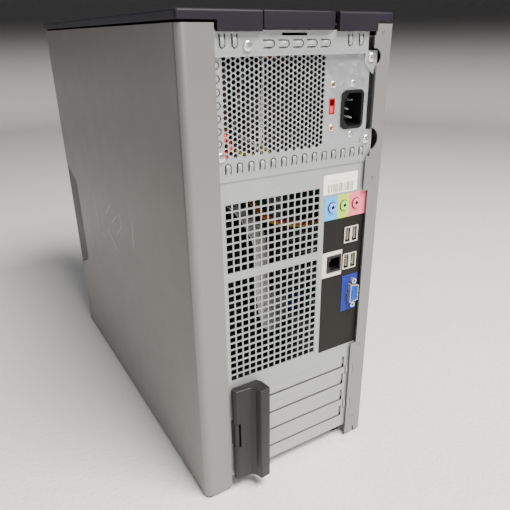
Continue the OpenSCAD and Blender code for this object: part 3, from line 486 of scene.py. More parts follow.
# Low down, the flange and the back hook together with pairs of round straps lanced outwards.
straps = Build()
for z0 in (36.5, 79.5):
    for x0, x1, y0 in ((-72.4, -69.9, panel_y), (-75.4, -72.7, flange_y)):
        rows = []
        for i in range(13):
            t = i / 12
            lift = 1.3 * MM * math.sin(math.pi * t) ** 0.55
            row = []
            for j in range(9):
                a = math.pi * j / 8
                x = (x0 + x1) / 2 + (x1 - x0) / 2 * -math.cos(a)
                out = lift * (0.25 + 0.75 * math.sin(a)) - 0.1 * MM
                row.append(Vector((x * MM, y0 + out, (z0 + 11.5 * t) * MM)))
            rows.append(row)
        straps.grid(rows)
make_piece("hooked_straps", straps, back_steel, "chassis", 60)


# ---------- Expansion slot covers ----------
# Four flat steel blanks close the card slots, held behind the back sheet. Each has a small
# dimple pressed in its middle. The dark gap under it is only a tone in the steel's colour.

slot_low, slot_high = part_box("slot_covers")
cover_tall = slot_high.z - slot_low.z - 3 * slot_pitch
dimples = Build()
for k in range(4):
    dimple_at = Vector((-27 * MM, slot_high.y, slot_low.z + k * slot_pitch + cover_tall * 0.5))
    turned([(1.5, -0.1), (1.3, 0.2), (0.9, 0.42), (0.4, 0.52), (0.05, 0.54)], dimples, dimple_at, 20)
make_piece("slot_cover_dimples", dimples, back_steel, "chassis")
round_edges(NODES["slot_covers"], 0.25)


# ---------- Card door ----------
# The cards are held by a moulded door on a steel hinge pin. It is a hollow moulding in dark
# grey plastic with a slight gloss, stepped up to a tall ridge that is pulled to open it.

def round_outline(corners, steps=6):
    """An outline from (x, y, radius) corners, each turned by an arc of that radius."""
    points = []
    n = len(corners)
    for i in range(n):
        before = Vector(corners[i - 1][:2])
        here = Vector(corners[i][:2])
        after = Vector(corners[(i + 1) % n][:2])
        into = (before - here).normalized()
        out = (after - here).normalized()
        turn = math.pi - into.angle(out)
        reach = min(corners[i][2] * math.tan(turn / 2),
                    0.45 * (before - here).length, 0.45 * (after - here).length)
        for k in range(steps + 1):
            t = k / steps
            points.append((here + into * reach) * (1 - t) ** 2 + here * 2 * t * (1 - t)
                          + (here + out * reach) * t ** 2)
    return points


def shrink(outline, inset):
    """An outline that runs counterclockwise, moved inwards."""
    n = len(outline)
    moved = []
    for i in range(n):
        a = (outline[i] - outline[i - 1]).normalized()
        b = (outline[(i + 1) % n] - outline[i]).normalized()
        inward = Vector((-a.y - b.y, a.x + b.x))
        moved.append(outline[i] + inward * (inset / max(0.35, inward.dot(Vector((-a.y, a.x))))))
    return moved


def standing(x, y, h):
    return Vector((x, y, h)) * MM


def facing_back(x, z, h):
    return Vector((x, h, z)) * MM


def moulding(build, outline, low, high, edge_low, edge_high, place=standing, steps=4):
    """A solid of one outline between two heights, its rims rounded by the two edge sizes."""
    rows = []
    for k in range(steps + 1):
        a = math.pi / 2 * k / steps
        ring = shrink(outline, edge_low * (1 - math.sin(a))) if edge_low else outline
        rows.append([place(p.x, p.y, low + edge_low * (1 - math.cos(a))) for p in ring])
    for k in range(steps + 1):
        a = math.pi / 2 * k / steps
        ring = shrink(outline, edge_high * (1 - math.cos(a))) if edge_high else outline
        rows.append([place(p.x, p.y, high - edge_high * (1 - math.sin(a))) for p in ring])
    build.grid([r for i, r in enumerate(rows) if i == 0 or (r[0] - rows[i - 1][0]).length > 1e-7],
               closed_rows=True, cap_ends=True)


def rectangle(x, y, radius=0.0):
    return round_outline([(x[i], y[j], radius) for i, j in ((0, 0), (1, 0), (1, 1), (0, 1))])


def cutter(outline, low, high, place=standing):
    """A plain solid to cut or join with; it is gone once it has been used."""
    build = Build()
    moulding(build, outline, low, high, 0, 0, place)
    mesh = bpy.data.meshes.new("cutter")
    mesh.from_pydata([tuple(v) for v in build.verts], [], build.faces)
    shape = bmesh.new()
    shape.from_mesh(mesh)
    bmesh.ops.remove_doubles(shape, verts=shape.verts, dist=1e-7)
    bmesh.ops.recalc_face_normals(shape, faces=shape.faces)
    shape.to_mesh(mesh)
    shape.free()
    tool = bpy.data.objects.new("cutter", mesh)
    bpy.context.scene.collection.objects.link(tool)
    return tool


def work(piece, operation, tools, sharp=35):
    """Cuts the tools from a piece, or joins them to it."""
    for tool in tools:
        step = piece.modifiers.new("work", "BOOLEAN")
        step.operation = operation
        step.object = tool
        step.solver = "EXACT"
    bpy.context.view_layer.update()
    done = piece.evaluated_get(bpy.context.evaluated_depsgraph_get())
    mesh = bpy.data.meshes.new_from_object(done)
    piece.modifiers.clear()
    piece.data = mesh
    mesh.shade_smooth()
    mesh.set_sharp_from_angle(angle=math.radians(sharp))
    for tool in tools:
        bpy.data.objects.remove(tool)


def plastic_finish(name, dark, light, rough, grain=1400, relief=0.00002, **fixed):
    """Moulded plastic: fine spark-eroded grain, slight cloudiness and uneven gloss from handling."""
    plastic = Finish(name, **fixed)
    plastic.cloud = plastic.noise(18, 4)
    plastic.speck = plastic.noise(grain, 2)
    plastic.tone = plastic.blend((0.7 * plastic.cloud + 0.3 * plastic.speck).clamped(), dark, light)
    plastic.feed("Base Color", plastic.tone)
    plastic.feed("Roughness", rough + 0.16 * (plastic.noise(40, 3) - 0.5) + 0.10 * (plastic.speck - 0.5))
    plastic.bump(plastic.speck * 0.7 + plastic.noise(grain * 0.35, 2) * 0.3, relief)
    return plastic


door_plastic = plastic_finish("door_plastic", (0.0135, 0.0125, 0.0130), (0.0230, 0.0215, 0.0222), 0.38,
                              Coat_Weight=0.06, Coat_Roughness=0.3, Specular_IOR_Level=0.22)
door_low, door_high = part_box("card_door")
leaf_y = flange_y / MM


def door_outline(wall):
    """Plan of the door: a flat leaf at the hinge, a step, and the tall ridge that is pulled."""
    return round_outline([
        (61.4 - wall, leaf_y - 2.6 - wall, 0.4), (63.4 - wall, leaf_y + 0.4, 1.5),
        (63.4 - wall, leaf_y + 2.6 - wall, 1.5), (61.7 - wall, leaf_y + 5.5 - wall, 1.6),
        (47.4, leaf_y + 6.2 - wall, 5), (44.6 - wall / 2, leaf_y + 10 - wall, 4),
        (42.8 - wall, leaf_y + 16.2 - wall, 1.5), (33 + wall, leaf_y + 15.4 - wall, 1.4),
        (31.8 + wall, leaf_y + 12.8 - wall, 1.2), (33.2 + wall, leaf_y + 2.3, 3),
        (36.2 + wall, leaf_y - 2.6 - wall, 0.4)])


door = Build()
low, high = door_low.z / MM, door_high.z / MM
moulding(door, door_outline(0), low, high, 1.0, 1.3)
card_door = make_piece("card_door_moulding", door, door_plastic, "door")
door_wall = 1.8
knuckle_z = (52.6, 79.5)
work(card_door, "DIFFERENCE", [cutter(door_outline(door_wall), low + 2, knuckle_z[0] - 2.1),
                               cutter(door_outline(door_wall), knuckle_z[1] + 2, high - 2),
                               cutter(rectangle((57.8, 70), (leaf_y - 5, leaf_y + 9), 1.5), *knuckle_z)])
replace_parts(card_door, "card_door")
dress("door_bracket", door_plastic, 0.3)
dress("door_pin", zinc_steel)


# ---------- Cap and cover latch ----------
# The top is one charcoal moulding with rounded edges. Its back edge drops as an apron over
# the steel, and a sprung latch slides in a notch in it to let the side cover go.

cap_plastic = plastic_finish("cap_plastic", (0.012, 0.0108, 0.0145), (0.021, 0.0192, 0.0245), 0.46,
                             grain=1100, relief=0.00004, Specular_IOR_Level=0.13)
cap_low, cap_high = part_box("top_cap")
latch_low, latch_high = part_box("cover_latch")
skirt_z = cap_high.z / MM - 6.6
apron_x = (-76.5, 63.5)
roof_z = cap_low.z / MM
cap_ends = (cap_low.y / MM, cap_high.y / MM)
half = cap_high.x / MM
cap = Build()
moulding(cap, rectangle((-half, half), cap_ends, 3), skirt_z, cap_high.z / MM, 0.5, 2.0)
top_cap = make_piece("cap_moulding", cap, cap_plastic, "chassis")
apron_y = (cap_ends[1] - 3.6, cap_ends[1] - 0.05)
work(top_cap, "UNION", [cutter(rectangle(apron_x, apron_y), roof_z, skirt_z + 3)])
notch_x = (latch_low.x / MM - 2.6, latch_high.x / MM + 0.8)
notch_y = (latch_low.y / MM - 12, cap_ends[1] + 5)
wall = 2.5
inside = rectangle((-half + wall, half - wall), (cap_ends[0] + wall, cap_ends[1] - 3.8), 4)
work(top_cap, "DIFFERENCE", [cutter(inside, skirt_z - 3, cap_high.z / MM - wall),
                             cutter(rectangle(notch_x, notch_y), roof_z - 1, cap_high.z / MM + 2)])
round_edges(top_cap, 0.35)
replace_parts(top_cap, "top_cap")

latch_x = (latch_low.x / MM, latch_high.x / MM)
latch_y = (latch_low.y / MM, latch_high.y / MM)
latch = Build()
latch_plan = round_outline([
    (latch_x[0], latch_y[0], 1.5), (latch_x[1], latch_y[0], 1.5), (latch_x[1], latch_y[1], 1.2),
    (latch_x[0] + 7, latch_y[1], 1.2), (latch_x[0], latch_y[1] - 2.5, 0.8)])
moulding(latch, latch_plan, latch_low.z / MM, latch_high.z / MM, 0.3, 1.1)
latch_piece = make_piece("latch_moulding", latch, cap_plastic, "latch")
hollow = rectangle((latch_x[0] + 2.5, latch_x[1] - 9), (latch_y[0] + 8, latch_y[1] - 10), 1)
work(latch_piece, "DIFFERENCE", [cutter(hollow, latch_low.z / MM - 1, latch_high.z / MM - 2.5)])
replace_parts(latch_piece, "cover_latch")


def sides_along(points):
    """The way across and the way up at each point of a route, turned as little as may be."""
    pairs = []
    across = (points[1] - points[0]).orthogonal().normalized()
    for i in range(len(points)):
        way = (points[min(i + 1, len(points) - 1)] - points[max(i - 1, 0)]).normalized()
        across = (across - way * across.dot(way)).normalized()
        pairs.append((across, across.cross(way)))
    return pairs


def wire_mesh(build, points, radius, sides=10):
    """A round wire along points."""
    turns = [2 * math.pi * k / sides for k in range(sides)]
    rows = [[point + (across * math.cos(a) - up * math.sin(a)) * radius for a in turns]
            for point, (across, up) in zip(points, sides_along(points))]
    build.grid(rows, closed_rows=True, cap_ends=True)


spring_low, spring_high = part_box("latch_spring")
spring_mid = (spring_low + spring_high) / 2
spring_r = (spring_high.z - spring_low.z) / 2 - 0.35 * MM
coil = Build()
coil_steps = 9 * 16
coil_points = []
for i in range(coil_steps + 1):
    a = 2 * math.pi * i / 16
    y = spring_low.y + 0.3 * MM + (spring_high.y - spring_low.y - 0.6 * MM) * i / coil_steps
    coil_points.append(Vector((spring_mid.x, y, spring_mid.z))
                       + Vector((math.cos(a), 0, math.sin(a))) * spring_r)
wire_mesh(coil, coil_points, 0.32 * MM, 8)
latch_spring = make_piece("latch_coil_spring", coil, zinc_steel, "chassis", 60)
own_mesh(latch_spring)
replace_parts(latch_spring, "latch_spring")


# ---------- Power supply ----------
# A bright zinc-plated box behind a window in the back: hexagonal mesh, socket and switch on
# its face, and inside it a board with coils and capacitors, and a fan at the far end.

bright_zinc = zinc_finish("bright_zinc", (0.52, 0.548, 0.560), (0.58, 0.608, 0.615), 0.40)
dress("psu_face", bright_zinc)
round_edges(NODES["psu_shell"], 0.3)

fan_plastic = plastic_finish("fan_plastic", (0.012, 0.012, 0.013), (0.022, 0.022, 0.023), 0.45)
for part in ("psu_fan_frame", "psu_fan_rotor", "cpu_fan_frame", "cpu_fan_rotor"):
    dress(part, fan_plastic, 0.4)

screw_metal = zinc_finish("screw_metal", (0.66, 0.66, 0.65), (0.82, 0.82, 0.80), 0.24)
screws_low, screws_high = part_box("psu_screws")
head_r = 3.9
supply_x = screws_high.x / MM - head_r + 6
supply_z = screws_low.z / MM + head_r - 6
screw_pattern = ((30, 80), (144, 70), (144, 6), (6, 6))
screw_places = [(supply_x - across, supply_z + up) for across, up in screw_pattern]
heads = Build()
cross = []
for x, z in screw_places:
    turned([(1.5, -1.9), (1.55, 0), (3.85, 0.02), (head_r, 0.35), (3.75, 0.8), (3.3, 1.25), (2.6, 1.6),
            (1.7, 1.82), (0.7, 1.9), (0.05, 1.9)], heads, Vector((x * MM, panel_y, z * MM)))
    for wide, tall in ((3.6, 0.8), (0.8, 3.6)):
        cross.append(cutter(rectangle((x - wide / 2, x + wide / 2), (z - tall / 2, z + tall / 2), 0.2),
                            panel_y / MM + 0.7, panel_y / MM + 3, facing_back))
psu_screws = make_piece("supply_screws", heads, screw_metal, "chassis", 30)
for tool in cross:
    work(psu_screws, "DIFFERENCE", [tool], 30)
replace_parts(psu_screws, "psu_screws")

# Copper-coloured hollow rivets hold the switch and two small screws hold the socket.
face_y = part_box("psu_face")[1].y
inlet_low, inlet_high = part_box("inlet_housing")
inlet_mid = (inlet_low + inlet_high) / 2
switch_low, switch_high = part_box("voltage_switch")
switch_mid = (switch_low + switch_high) / 2
copper = zinc_finish("copper_rivet", (0.20, 0.10, 0.06), (0.34, 0.19, 0.12), 0.4)
for name, finish, slot, shape in (
        ("rivet_flanges", screw_metal, "bright_screw",
         [(1.4, -1.5), (1.45, 0), (2.6, 0.02), (2.65, 0.35), (2.45, 0.7), (2.0, 0.9), (1.75, 0.7)]),
        ("rivet_throats", copper, "brass", [(1.8, 0.75), (1.6, 0.35), (1.2, 0.1), (0.85, 0.1)]),
        ("rivet_pins", screw_metal, "bright_screw", [(0.9, -0.5), (0.9, 0.3), (0.6, 0.55), (0.05, 0.6)])):
    rivets = Build()
    for side in (-1, 1):
        turned(shape, rivets, Vector((switch_mid.x, face_y, switch_mid.z + side * 16.5 * MM)))
    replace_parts(make_piece(name, rivets, finish, "chassis", 40), "psu_rivets")
small = Build()
slots = []
for side in (-1, 1):
    z = inlet_mid.z + side * 20 * MM
    turned([(1.4, -1.5), (1.45, 0), (2.6, 0.02), (2.6, 0.25), (2.3, 0.55), (1.4, 0.8), (0.05, 0.88)], small,
           Vector((inlet_mid.x, face_y, z)))
    x = inlet_mid.x / MM
    slots.append(cutter(rectangle((x - 0.35, x + 0.35), (z / MM - 1.9, z / MM + 1.9)),
                        face_y / MM + 0.35, face_y / MM + 3, facing_back))
inlet_screws = make_piece("inlet_screws", small, screw_metal, "chassis", 30)
work(inlet_screws, "DIFFERENCE", slots, 30)
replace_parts(inlet_screws, "psu_rivets")

# The supply's board is brown laminate, and what stands on it shows as brown shapes behind the mesh.
laminate = plastic_finish("brown_laminate", (0.030, 0.018, 0.010), (0.055, 0.032, 0.018), 0.5)
dress("psu_board", laminate, 0.4)


def insulation(name, colour):
    """The soft vinyl on a lead, slightly glossy and a little dusty."""
    vinyl = Finish(name)
    dust = vinyl.noise(160, 4).smooth(0.45, 0.8)
    paler = tuple(0.75 * c + 0.25 * 0.5 for c in colour)
    vinyl.feed("Base Color", vinyl.blend(dust, colour, paler))
    vinyl.feed("Roughness", 0.34 + 0.3 * dust)
    vinyl.bump(vinyl.noise(900, 2), 0.00002)
    return vinyl


vinyls = {name: insulation(name + "_vinyl", colour) for name, colour in (
    ("red", (0.62, 0.03, 0.025)), ("orange", (0.80, 0.22, 0.02)), ("yellow", (0.80, 0.56, 0.05)),
    ("black", (0.02, 0.02, 0.02)), ("white", (0.70, 0.68, 0.62)))}


def eased(points, steps=8):
    """A smooth curve through the points."""
    curve = []
    for i in range(len(points) - 1):
        a, b, c, d = (points[max(i - 1, 0)], points[i], points[i + 1], points[min(i + 2, len(points) - 1)])
        for k in range(steps):
            t = k / steps
            curve.append(0.5 * (2 * b + (c - a) * t + (2 * a - 5 * b + 4 * c - d) * t * t
                                + (3 * b - a - 3 * c + d) * t * t * t))
    return curve + [points[-1]]


# A few of the supply's own leads are pressed flat behind its mesh.
mesh_y = face_y / MM
for k, (name, x0, x1, z0, z1) in enumerate((
        ("red", 64, 57, 312, 334), ("red", 58, 53, 313, 326), ("red", 52, 58, 313, 320),
        ("red", 62, 54, 320, 316), ("white", 46, 24, 313.5, 314.5), ("yellow", 36, 16, 314.5, 313.5),
        ("black", 50, 40, 330, 378), ("red", 34, 12, 390, 384), ("white", 26, 23, 322, 384),
        ("yellow", 22, 30, 386, 391))):
    path = [Vector(v) for v in (
        (x0, mesh_y - 40, z0 + 2), (x0 + 1, mesh_y - 14, z0), (x0, mesh_y - 3.2 - 0.3 * k, z0 + 1),
        ((x0 + x1) / 2, mesh_y - 2.8 - 0.3 * k, (z0 + z1) / 2), (x1, mesh_y - 4 - 0.4 * k, z1),
        (x1 - 4, mesh_y - 36, z1 + 4))]
    lead = Build()
    wire_mesh(lead, eased([v * MM for v in path]), (1.5 if name == "red" else 1.1) * MM, 10)
    make_piece(f"supply_lead_{k + 1}", lead, vinyls[name], "chassis", 60)


# ---------- Mains socket and voltage switch ----------
# A black moulded three-pin socket is pressed into the supply's face, its flat pins plated. Beside
# it is a recessed red slide switch; its slider is painted lighter than its case, as painted light.

socket_plastic = plastic_finish("socket_plastic", (0.006, 0.006, 0.0065), (0.012, 0.012, 0.013), 0.30,
                                Coat_Weight=0.1, Coat_Roughness=0.2, Specular_IOR_Level=0.25)
dress("inlet_housing", socket_plastic, 0.55, 3)
plated = zinc_finish("plated_pins", (0.72, 0.70, 0.66), (0.88, 0.86, 0.82), 0.2)
blades = Build()
for across, up in ((2, 0), (-2, -7), (-2, 7)):
    rows = []
    for back, wide, thick in ((-21, 1.95, 0.95), (-6.5, 1.95, 0.95), (-4.2, 1.5, 0.5), (-3.1, 1.0, 0.25)):
        centre = Vector((inlet_mid.x, face_y, inlet_mid.z)) + Vector((across, back, up)) * MM
        rows.append([centre + Vector((x * wide, 0, z * thick)) * MM for x, z in (
            (-1, -0.4), (-0.8, -1), (0.8, -1), (1, -0.4), (1, 0.4), (0.8, 1), (-0.8, 1), (-1, 0.4))])
    blades.grid(rows, closed_rows=True, cap_ends=True)
inlet_blades = make_piece("inlet_blades", blades, plated, "chassis", 30)
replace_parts(inlet_blades, "inlet_pins")
red_plastic = plastic_finish("red_plastic", (0.26, 0.005, 0.010), (0.36, 0.010, 0.016), 0.4)
dress("voltage_switch", red_plastic, 0.25)
# Painted light: the slider is the switch's red painted lighter, as if lit.
lit_red = plastic_finish("slider_red", (0.60, 0.010, 0.030), (0.70, 0.030, 0.050), 0.35)
dress("voltage_slider", lit_red, 0.3)


# ---------- Connector plate and its colour keys ----------
# The connectors stand in a blackened steel plate. Printed keys in the usual colours surround
# the sound sockets, the network socket and the screen connector.

black_plate = Finish("black_plate", Metallic=0.1, Specular_IOR_Level=0.15)
plate_speck = black_plate.noise(1600, 2)
plate_cloud = black_plate.noise(30, 4)
black_plate.feed("Base Color", black_plate.blend((0.5 * plate_speck + 0.5 * plate_cloud).clamped(),
                                                 (0.010, 0.0085, 0.0075), (0.018, 0.0155, 0.0140)))
black_plate.feed("Roughness", 0.48 + 0.2 * (plate_cloud - 0.5))
black_plate.bump(plate_speck, 0.00003)
dress("io_plate", black_plate)

blue_key = (0.06, 0.40, 0.92)
lime_key = (0.50, 0.66, 0.045)
pink_key = (0.90, 0.16, 0.24)
beige_key = (0.76, 0.66, 0.58)
screen_key = (0.001, 0.016, 0.25)


def audio_colour(finish, x, blue, lime, pink):
    """Blue, lime and pink in turn along the row of sound sockets."""
    past_blue = (x * -1000) > 47.9
    past_lime = (x * -1000) > 60.8
    return finish.blend(past_lime, finish.blend(past_blue, blue, lime), pink)


key_print = Finish("key_print", Specular_IOR_Level=0.2)
key_x, _, key_z = key_print.axes()
row_colour = audio_colour(key_print, key_x, blue_key, lime_key, pink_key)
plate_colour = key_print.blend(key_z > 0.195, screen_key, beige_key)
key_colour = key_print.blend(key_z > 0.24, plate_colour, row_colour)
key_fade = key_print.noise(70, 4)
jack_places = [(x, 262.6) for x in (-42.1, -55.1, -68.4)]
# Painted shade: a dark ring is painted on the key round each sound socket.
for x, z in jack_places:
    jack_shade_ring = ((key_x - x * MM) ** 2 + (key_z - z * MM) ** 2) < (4.9 * MM) ** 2
    key_colour = key_print.blend(jack_shade_ring, key_colour, (0.03, 0.028, 0.03))
key_print.feed("Base Color", key_print.blend(0.03 * key_fade, key_colour, (0.8, 0.8, 0.78)))
key_print.feed("Roughness", 0.38 + 0.2 * (key_fade - 0.5))
key_print.bump(key_print.noise(1300, 2), 0.00002)
dress("port_labels", key_print)

# Each sound socket is a coloured nose, rounded at the rim; its bore is painted shade.
# The dark ring round it on the key is painted shade too.
nose_print = Finish("socket_noses", Specular_IOR_Level=0.35)
nose_x, nose_y, _ = nose_print.axes()
nose_colour = audio_colour(nose_print, nose_x, (0.20, 0.38, 0.88), (0.42, 0.74, 0.16), (0.88, 0.20, 0.26))
# Painted shade: the bore and the lower part of each nose are painted nearly black.
nose_bore_shade = (nose_y * 1000) < panel_y / MM + 0.9
nose_print.feed("Base Color", nose_print.blend(nose_bore_shade * 0.85, nose_colour, (0.02, 0.015, 0.02)))
nose_print.feed("Roughness", 0.34 + 0.14 * (nose_print.noise(300, 3) - 0.5))
nose_print.bump(nose_print.noise(1500, 2), 0.00002)
noses = Build()
for x, z in jack_places:
    outer = [(4.15, -0.8), (4.15, 1.1), (4.0, 1.42), (3.6, 1.6)]
    inner = [(2.35, 1.6), (1.95, 1.45), (1.8, 1.1), (1.78, -6), (0.05, -6.05)]
    turned(outer + inner, noses, Vector((x * MM, panel_y + 0.03 * MM, z * MM)), 40)
make_piece("sound_socket_noses", noses, nose_print, "chassis")
dress("audio_jacks", nose_print)


# ---------- USB, network and screen connectors ----------
# Folded nickel-plated shells with white tongues, a moulded network socket with gold contacts
# and the fifteen-way screen connector, blue in a plated shell between two hexagonal screws.

nickel = zinc_finish("nickel_shell", (0.62, 0.58, 0.52), (0.84, 0.80, 0.73), 0.26)
mouth = zinc_finish("socket_mouths", (0.62, 0.58, 0.52), (0.84, 0.80, 0.73), 0.26)
mouth_y = mouth.axes()[1]
# Painted shade: inside each mouth the shell is painted darker the deeper it goes.
mouth_shade = 1 - mouth_y.smooth(panel_y - 1.2 * MM, panel_y + 0.5 * MM)
mouth.feed("Base Color", mouth.blend(mouth_shade, (0.78, 0.74, 0.67), (0.03, 0.026, 0.022)))
dress("usb_ports", mouth, 0.3)
white_nylon = plastic_finish("white_nylon", (0.17, 0.15, 0.12), (0.25, 0.22, 0.18), 0.45)
dress("usb_tongues", white_nylon, 0.25)

# Bent spring fingers press on a plug from both long sides of each mouth, and gold strips lie
# along the tongue.
gold = zinc_finish("gold_contact", (0.80, 0.55, 0.22), (0.95, 0.72, 0.34), 0.22)
usb_x = -65
port_y = panel_y / MM
fingers = Build()
strips = Build()
for z in (234, 208):
    for mouth_x in (usb_x - 3.9, usb_x + 3.9):
        for finger_z in (z - 3.2, z + 3.2):
            rows = []
            for i in range(9):
                t = i / 8
                x = mouth_x + 2.75 - 0.8 * math.sin(math.pi * t)
                rows.append([Vector((x, port_y - 1.2 - 8 * t, finger_z + w)) * MM for w in (-0.8, 0.8)])
            fingers.grid(rows)
        for k in range(4):
            strip_z = z + (k - 1.5) * 2.5
            strips.grid([[Vector((mouth_x - 0.55, y, strip_z + w)) * MM for w in (-0.5, 0.5)]
                         for y in (port_y - 1.4, port_y - 10.4)])
usb_springs = make_piece("usb_spring_fingers", fingers, nickel, "chassis", 60)
usb_strips = make_piece("usb_contact_strips", strips, gold, "chassis")
for piece, thick in ((usb_springs, 0.25), (usb_strips, 0.12)):
    skin = piece.modifiers.new("thickness", "SOLIDIFY")
    skin.thickness = thick * MM

dress("network_jack", socket_plastic, 0.3)
jack_x = -47.2
jack_z = 208.8
combs = Build()
for k in range(8):
    x = jack_x - 4.7 + 1.02 * k
    path = [Vector((x, port_y - back, jack_z + up)) * MM
            for back, up in ((1.2, 5.4), (3, 4.4), (7, 1.6), (11.5, -0.8))]
    wire_mesh(combs, eased(path, 4), 0.22 * MM, 8)
make_piece("network_contacts", combs, gold, "chassis", 60)

dress("screen_port", nickel, 0.35)
screen_blue = plastic_finish("screen_blue", (0.002, 0.055, 0.36), (0.006, 0.085, 0.46), 0.4,
                             Specular_IOR_Level=0.25)
dress("screen_insert", screen_blue)
dress("screen_jackscrews", screw_metal, 0.35)


# ---------- Serial label ----------
# A glossy paper label on the back with plain bars printed in faded ink. It carries no words.

label_low, label_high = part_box("serial_label")
label_paper = Finish("label_paper", Coat_Weight=0.2)
label_x, _, label_z = label_paper.axes()
bar_noise = label_paper.noise(900, 1, (1, 0, 0))
bars = bar_noise.smooth(0.47, 0.50)
bar_band = ((label_x > label_low.x + 4.5 * MM) * (label_x < label_high.x - 4.5 * MM)
            * (label_z > label_low.z + 1.0 * MM) * (label_z < label_low.z + 8.6 * MM))
flecks = label_paper.noise(1500, 1, (1, 0, 0.6)).smooth(0.55, 0.6)
fleck_band = ((label_x > label_low.x + 6.5 * MM) * (label_x < label_high.x - 5.5 * MM)
              * (label_z > label_low.z + 10.2 * MM) * (label_z < label_low.z + 12.6 * MM))
ink = (bars * bar_band * 0.95 + flecks * fleck_band * 0.6) * (0.6 + 0.4 * label_paper.noise(120, 3))
yellowed = label_paper.noise(60, 3)
paper = label_paper.blend(yellowed, (0.97, 0.94, 0.76), (0.99, 0.97, 0.85))
label_paper.feed("Base Color", label_paper.blend(ink, paper, (0.13, 0.085, 0.065)))
label_paper.feed("Roughness", 0.42 + 0.2 * (yellowed - 0.5))
label_paper.bump(label_paper.noise(700, 3), 0.00002)
dress("serial_label", label_paper)


# ---------- Motherboard ----------
# A green epoxy-glass board under solder mask with fine copper tracks, held on brass standoffs,
# and soldered to it the slots, memory sockets, chips and capacitors.

board_green = Finish("board_green", Coat_Weight=0.35)
tracks = board_green.cells(260, "Distance", "DISTANCE_TO_EDGE") < 0.07
runs = (board_green.noise(240, 1, (1, 0.08, 1)).smooth(0.52, 0.54)
        * board_green.noise(24, 1).smooth(0.5, 0.52))
vias = board_green.cells(420, "Distance") < 0.22
board_tone = board_green.blend(board_green.noise(14, 3), (0.012, 0.085, 0.040), (0.018, 0.115, 0.055))
board_tone = board_green.blend((tracks * 0.5 + runs * 0.6).clamped(), board_tone, (0.040, 0.19, 0.085))
board_green.feed("Base Color", board_green.blend(vias * 0.5, board_tone, (0.55, 0.52, 0.38)))
board_green.feed("Roughness", 0.34 + 0.12 * tracks + 0.1 * (board_green.noise(90, 2) - 0.5))
board_green.bump(runs + tracks * 0.5, 0.00004)
for part in ("motherboard", "front_board", "memory_modules"):
    dress(part, board_green)
brass = zinc_finish("brass", (0.50, 0.36, 0.13), (0.70, 0.52, 0.22), 0.3)
dress("board_standoffs", brass)
socket_mix = plastic_finish("board_socket_nylon", (0.60, 0.56, 0.48), (0.74, 0.71, 0.64), 0.42)
_, mix_y, mix_z = socket_mix.axes()
ribbon_socket = (mix_y > 0.096) * (mix_y < 0.109) * (mix_z > 0.101) * (mix_z < 0.153)
socket_tone = socket_mix.blend(ribbon_socket, socket_mix.tone, (0.02, 0.12, 0.42))
black_socket = (mix_y > 0.030) * (mix_y < 0.055) * (mix_z > 0.114)
socket_mix.feed("Base Color", socket_mix.blend(black_socket, socket_tone, (0.02, 0.02, 0.022)))
dress("board_sockets", socket_mix, 0.3)
epoxy_black = plastic_finish("epoxy_black", (0.014, 0.014, 0.015), (0.028, 0.028, 0.030), 0.5)
dress("board_parts", epoxy_black, 0.3)

# Tops of bare aluminium close the capacitors, a coin cell lies on the board, and the chips on
# the memory modules are black.
aluminium = zinc_finish("aluminium", (0.62, 0.63, 0.64), (0.78, 0.79, 0.80), 0.3)
board_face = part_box("motherboard")[1].x / MM
cans = Build()
for y, z, tall, radius in ([(150 + (i % 2) * 12, 140 + i * 14, 13, 4) for i in range(6)]
                           + [(10, 190 + i * 14, 12, 3.2) for i in range(4)]):
    top = Vector((board_face + tall, y, z)) * MM
    can_rim = ((radius * 0.99, -0.9), (radius * 1.005, -0.2), (radius * 0.93, 0.2), (radius * 0.8, 0.1),
               (0.05, 0.05))
    cans.lathe([(r * MM, h * MM) for r, h in can_rim],
               lambda p, at=top: at + Vector((p.z, p.x, p.y)), 24)
make_piece("capacitor_tops", cans, aluminium, "chassis")
cell = Build()
cell_at = Vector((board_face, 6, 80)) * MM
cell.lathe([(r * MM, h * MM) for r, h in ((0.05, 0.4), (9.6, 0.4), (9.7, 1.9), (9.31, 3.4), (0.05, 3.4))],
           lambda p: cell_at + Vector((p.z, p.x, p.y)), 40)
make_piece("board_battery", cell, screw_metal, "chassis")
chips = Build()
for y in (35.65, 47.65):
    for z in range(125, 253, 16):
        chip = round_outline([(y, z, 0.3), (y + 0.55, z, 0.1), (y + 0.55, z + 11, 0.1), (y, z + 11, 0.3)], 2)
        moulding(chips, chip, board_face + 13, board_face + 27, 0.2, 0.2,
                 lambda x, y, h: Vector((h, x, y)) * MM, 2)
make_piece("memory_chips", chips, epoxy_black, "chassis")

dress("cpu_heatsink", aluminium, 0.2)


# ---------- Drives ----------
# A slim-bezelled disc drive in a zinc-plated can fills the top bay, and a hard drive with a
# die-cast body and a pressed lid hangs under it.

bezel_plastic = plastic_finish("bezel_plastic", (0.012, 0.012, 0.0145), (0.022, 0.0215, 0.025), 0.42,
                               1100, 0.00004, Specular_IOR_Level=0.25)
for part, width in (("drive_front", 0.5), ("disc_tray", 0.5), ("eject_button", 0.4), ("bay_blanks", 0.7)):
    dress(part, bezel_plastic, width)
cast_metal = zinc_finish("cast_metal", (0.34, 0.35, 0.36), (0.50, 0.51, 0.52), 0.5)
dress("hard_drive", cast_metal, 0.9, 3)
for part in ("optical_drive", "drive_cage"):
    round_edges(NODES[part], 0.3)
drive_low, drive_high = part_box("hard_drive")
lid = Build()
moulding(lid, round_outline([(-46, -176, 4), (46, -176, 4), (46, -40, 10), (30, -37, 4), (-46, -37, 4)]),
         drive_high.z / MM - 0.2, drive_high.z / MM + 0.9, 0.1, 0.8)
moulding(lid, round_outline([(-34, -170, 12), (34, -170, 12), (34, -96, 12), (-34, -96, 12)]),
         drive_high.z / MM + 0.8, drive_high.z / MM + 1.5, 0.05, 0.6)
make_piece("drive_lid", lid, screw_metal, "chassis")


# ---------- Front bezel and controls ----------
# One charcoal moulding clips over the front and carries the vents, the power button and a
# flap over two sockets. Its surface has a fine spark-eroded grain.

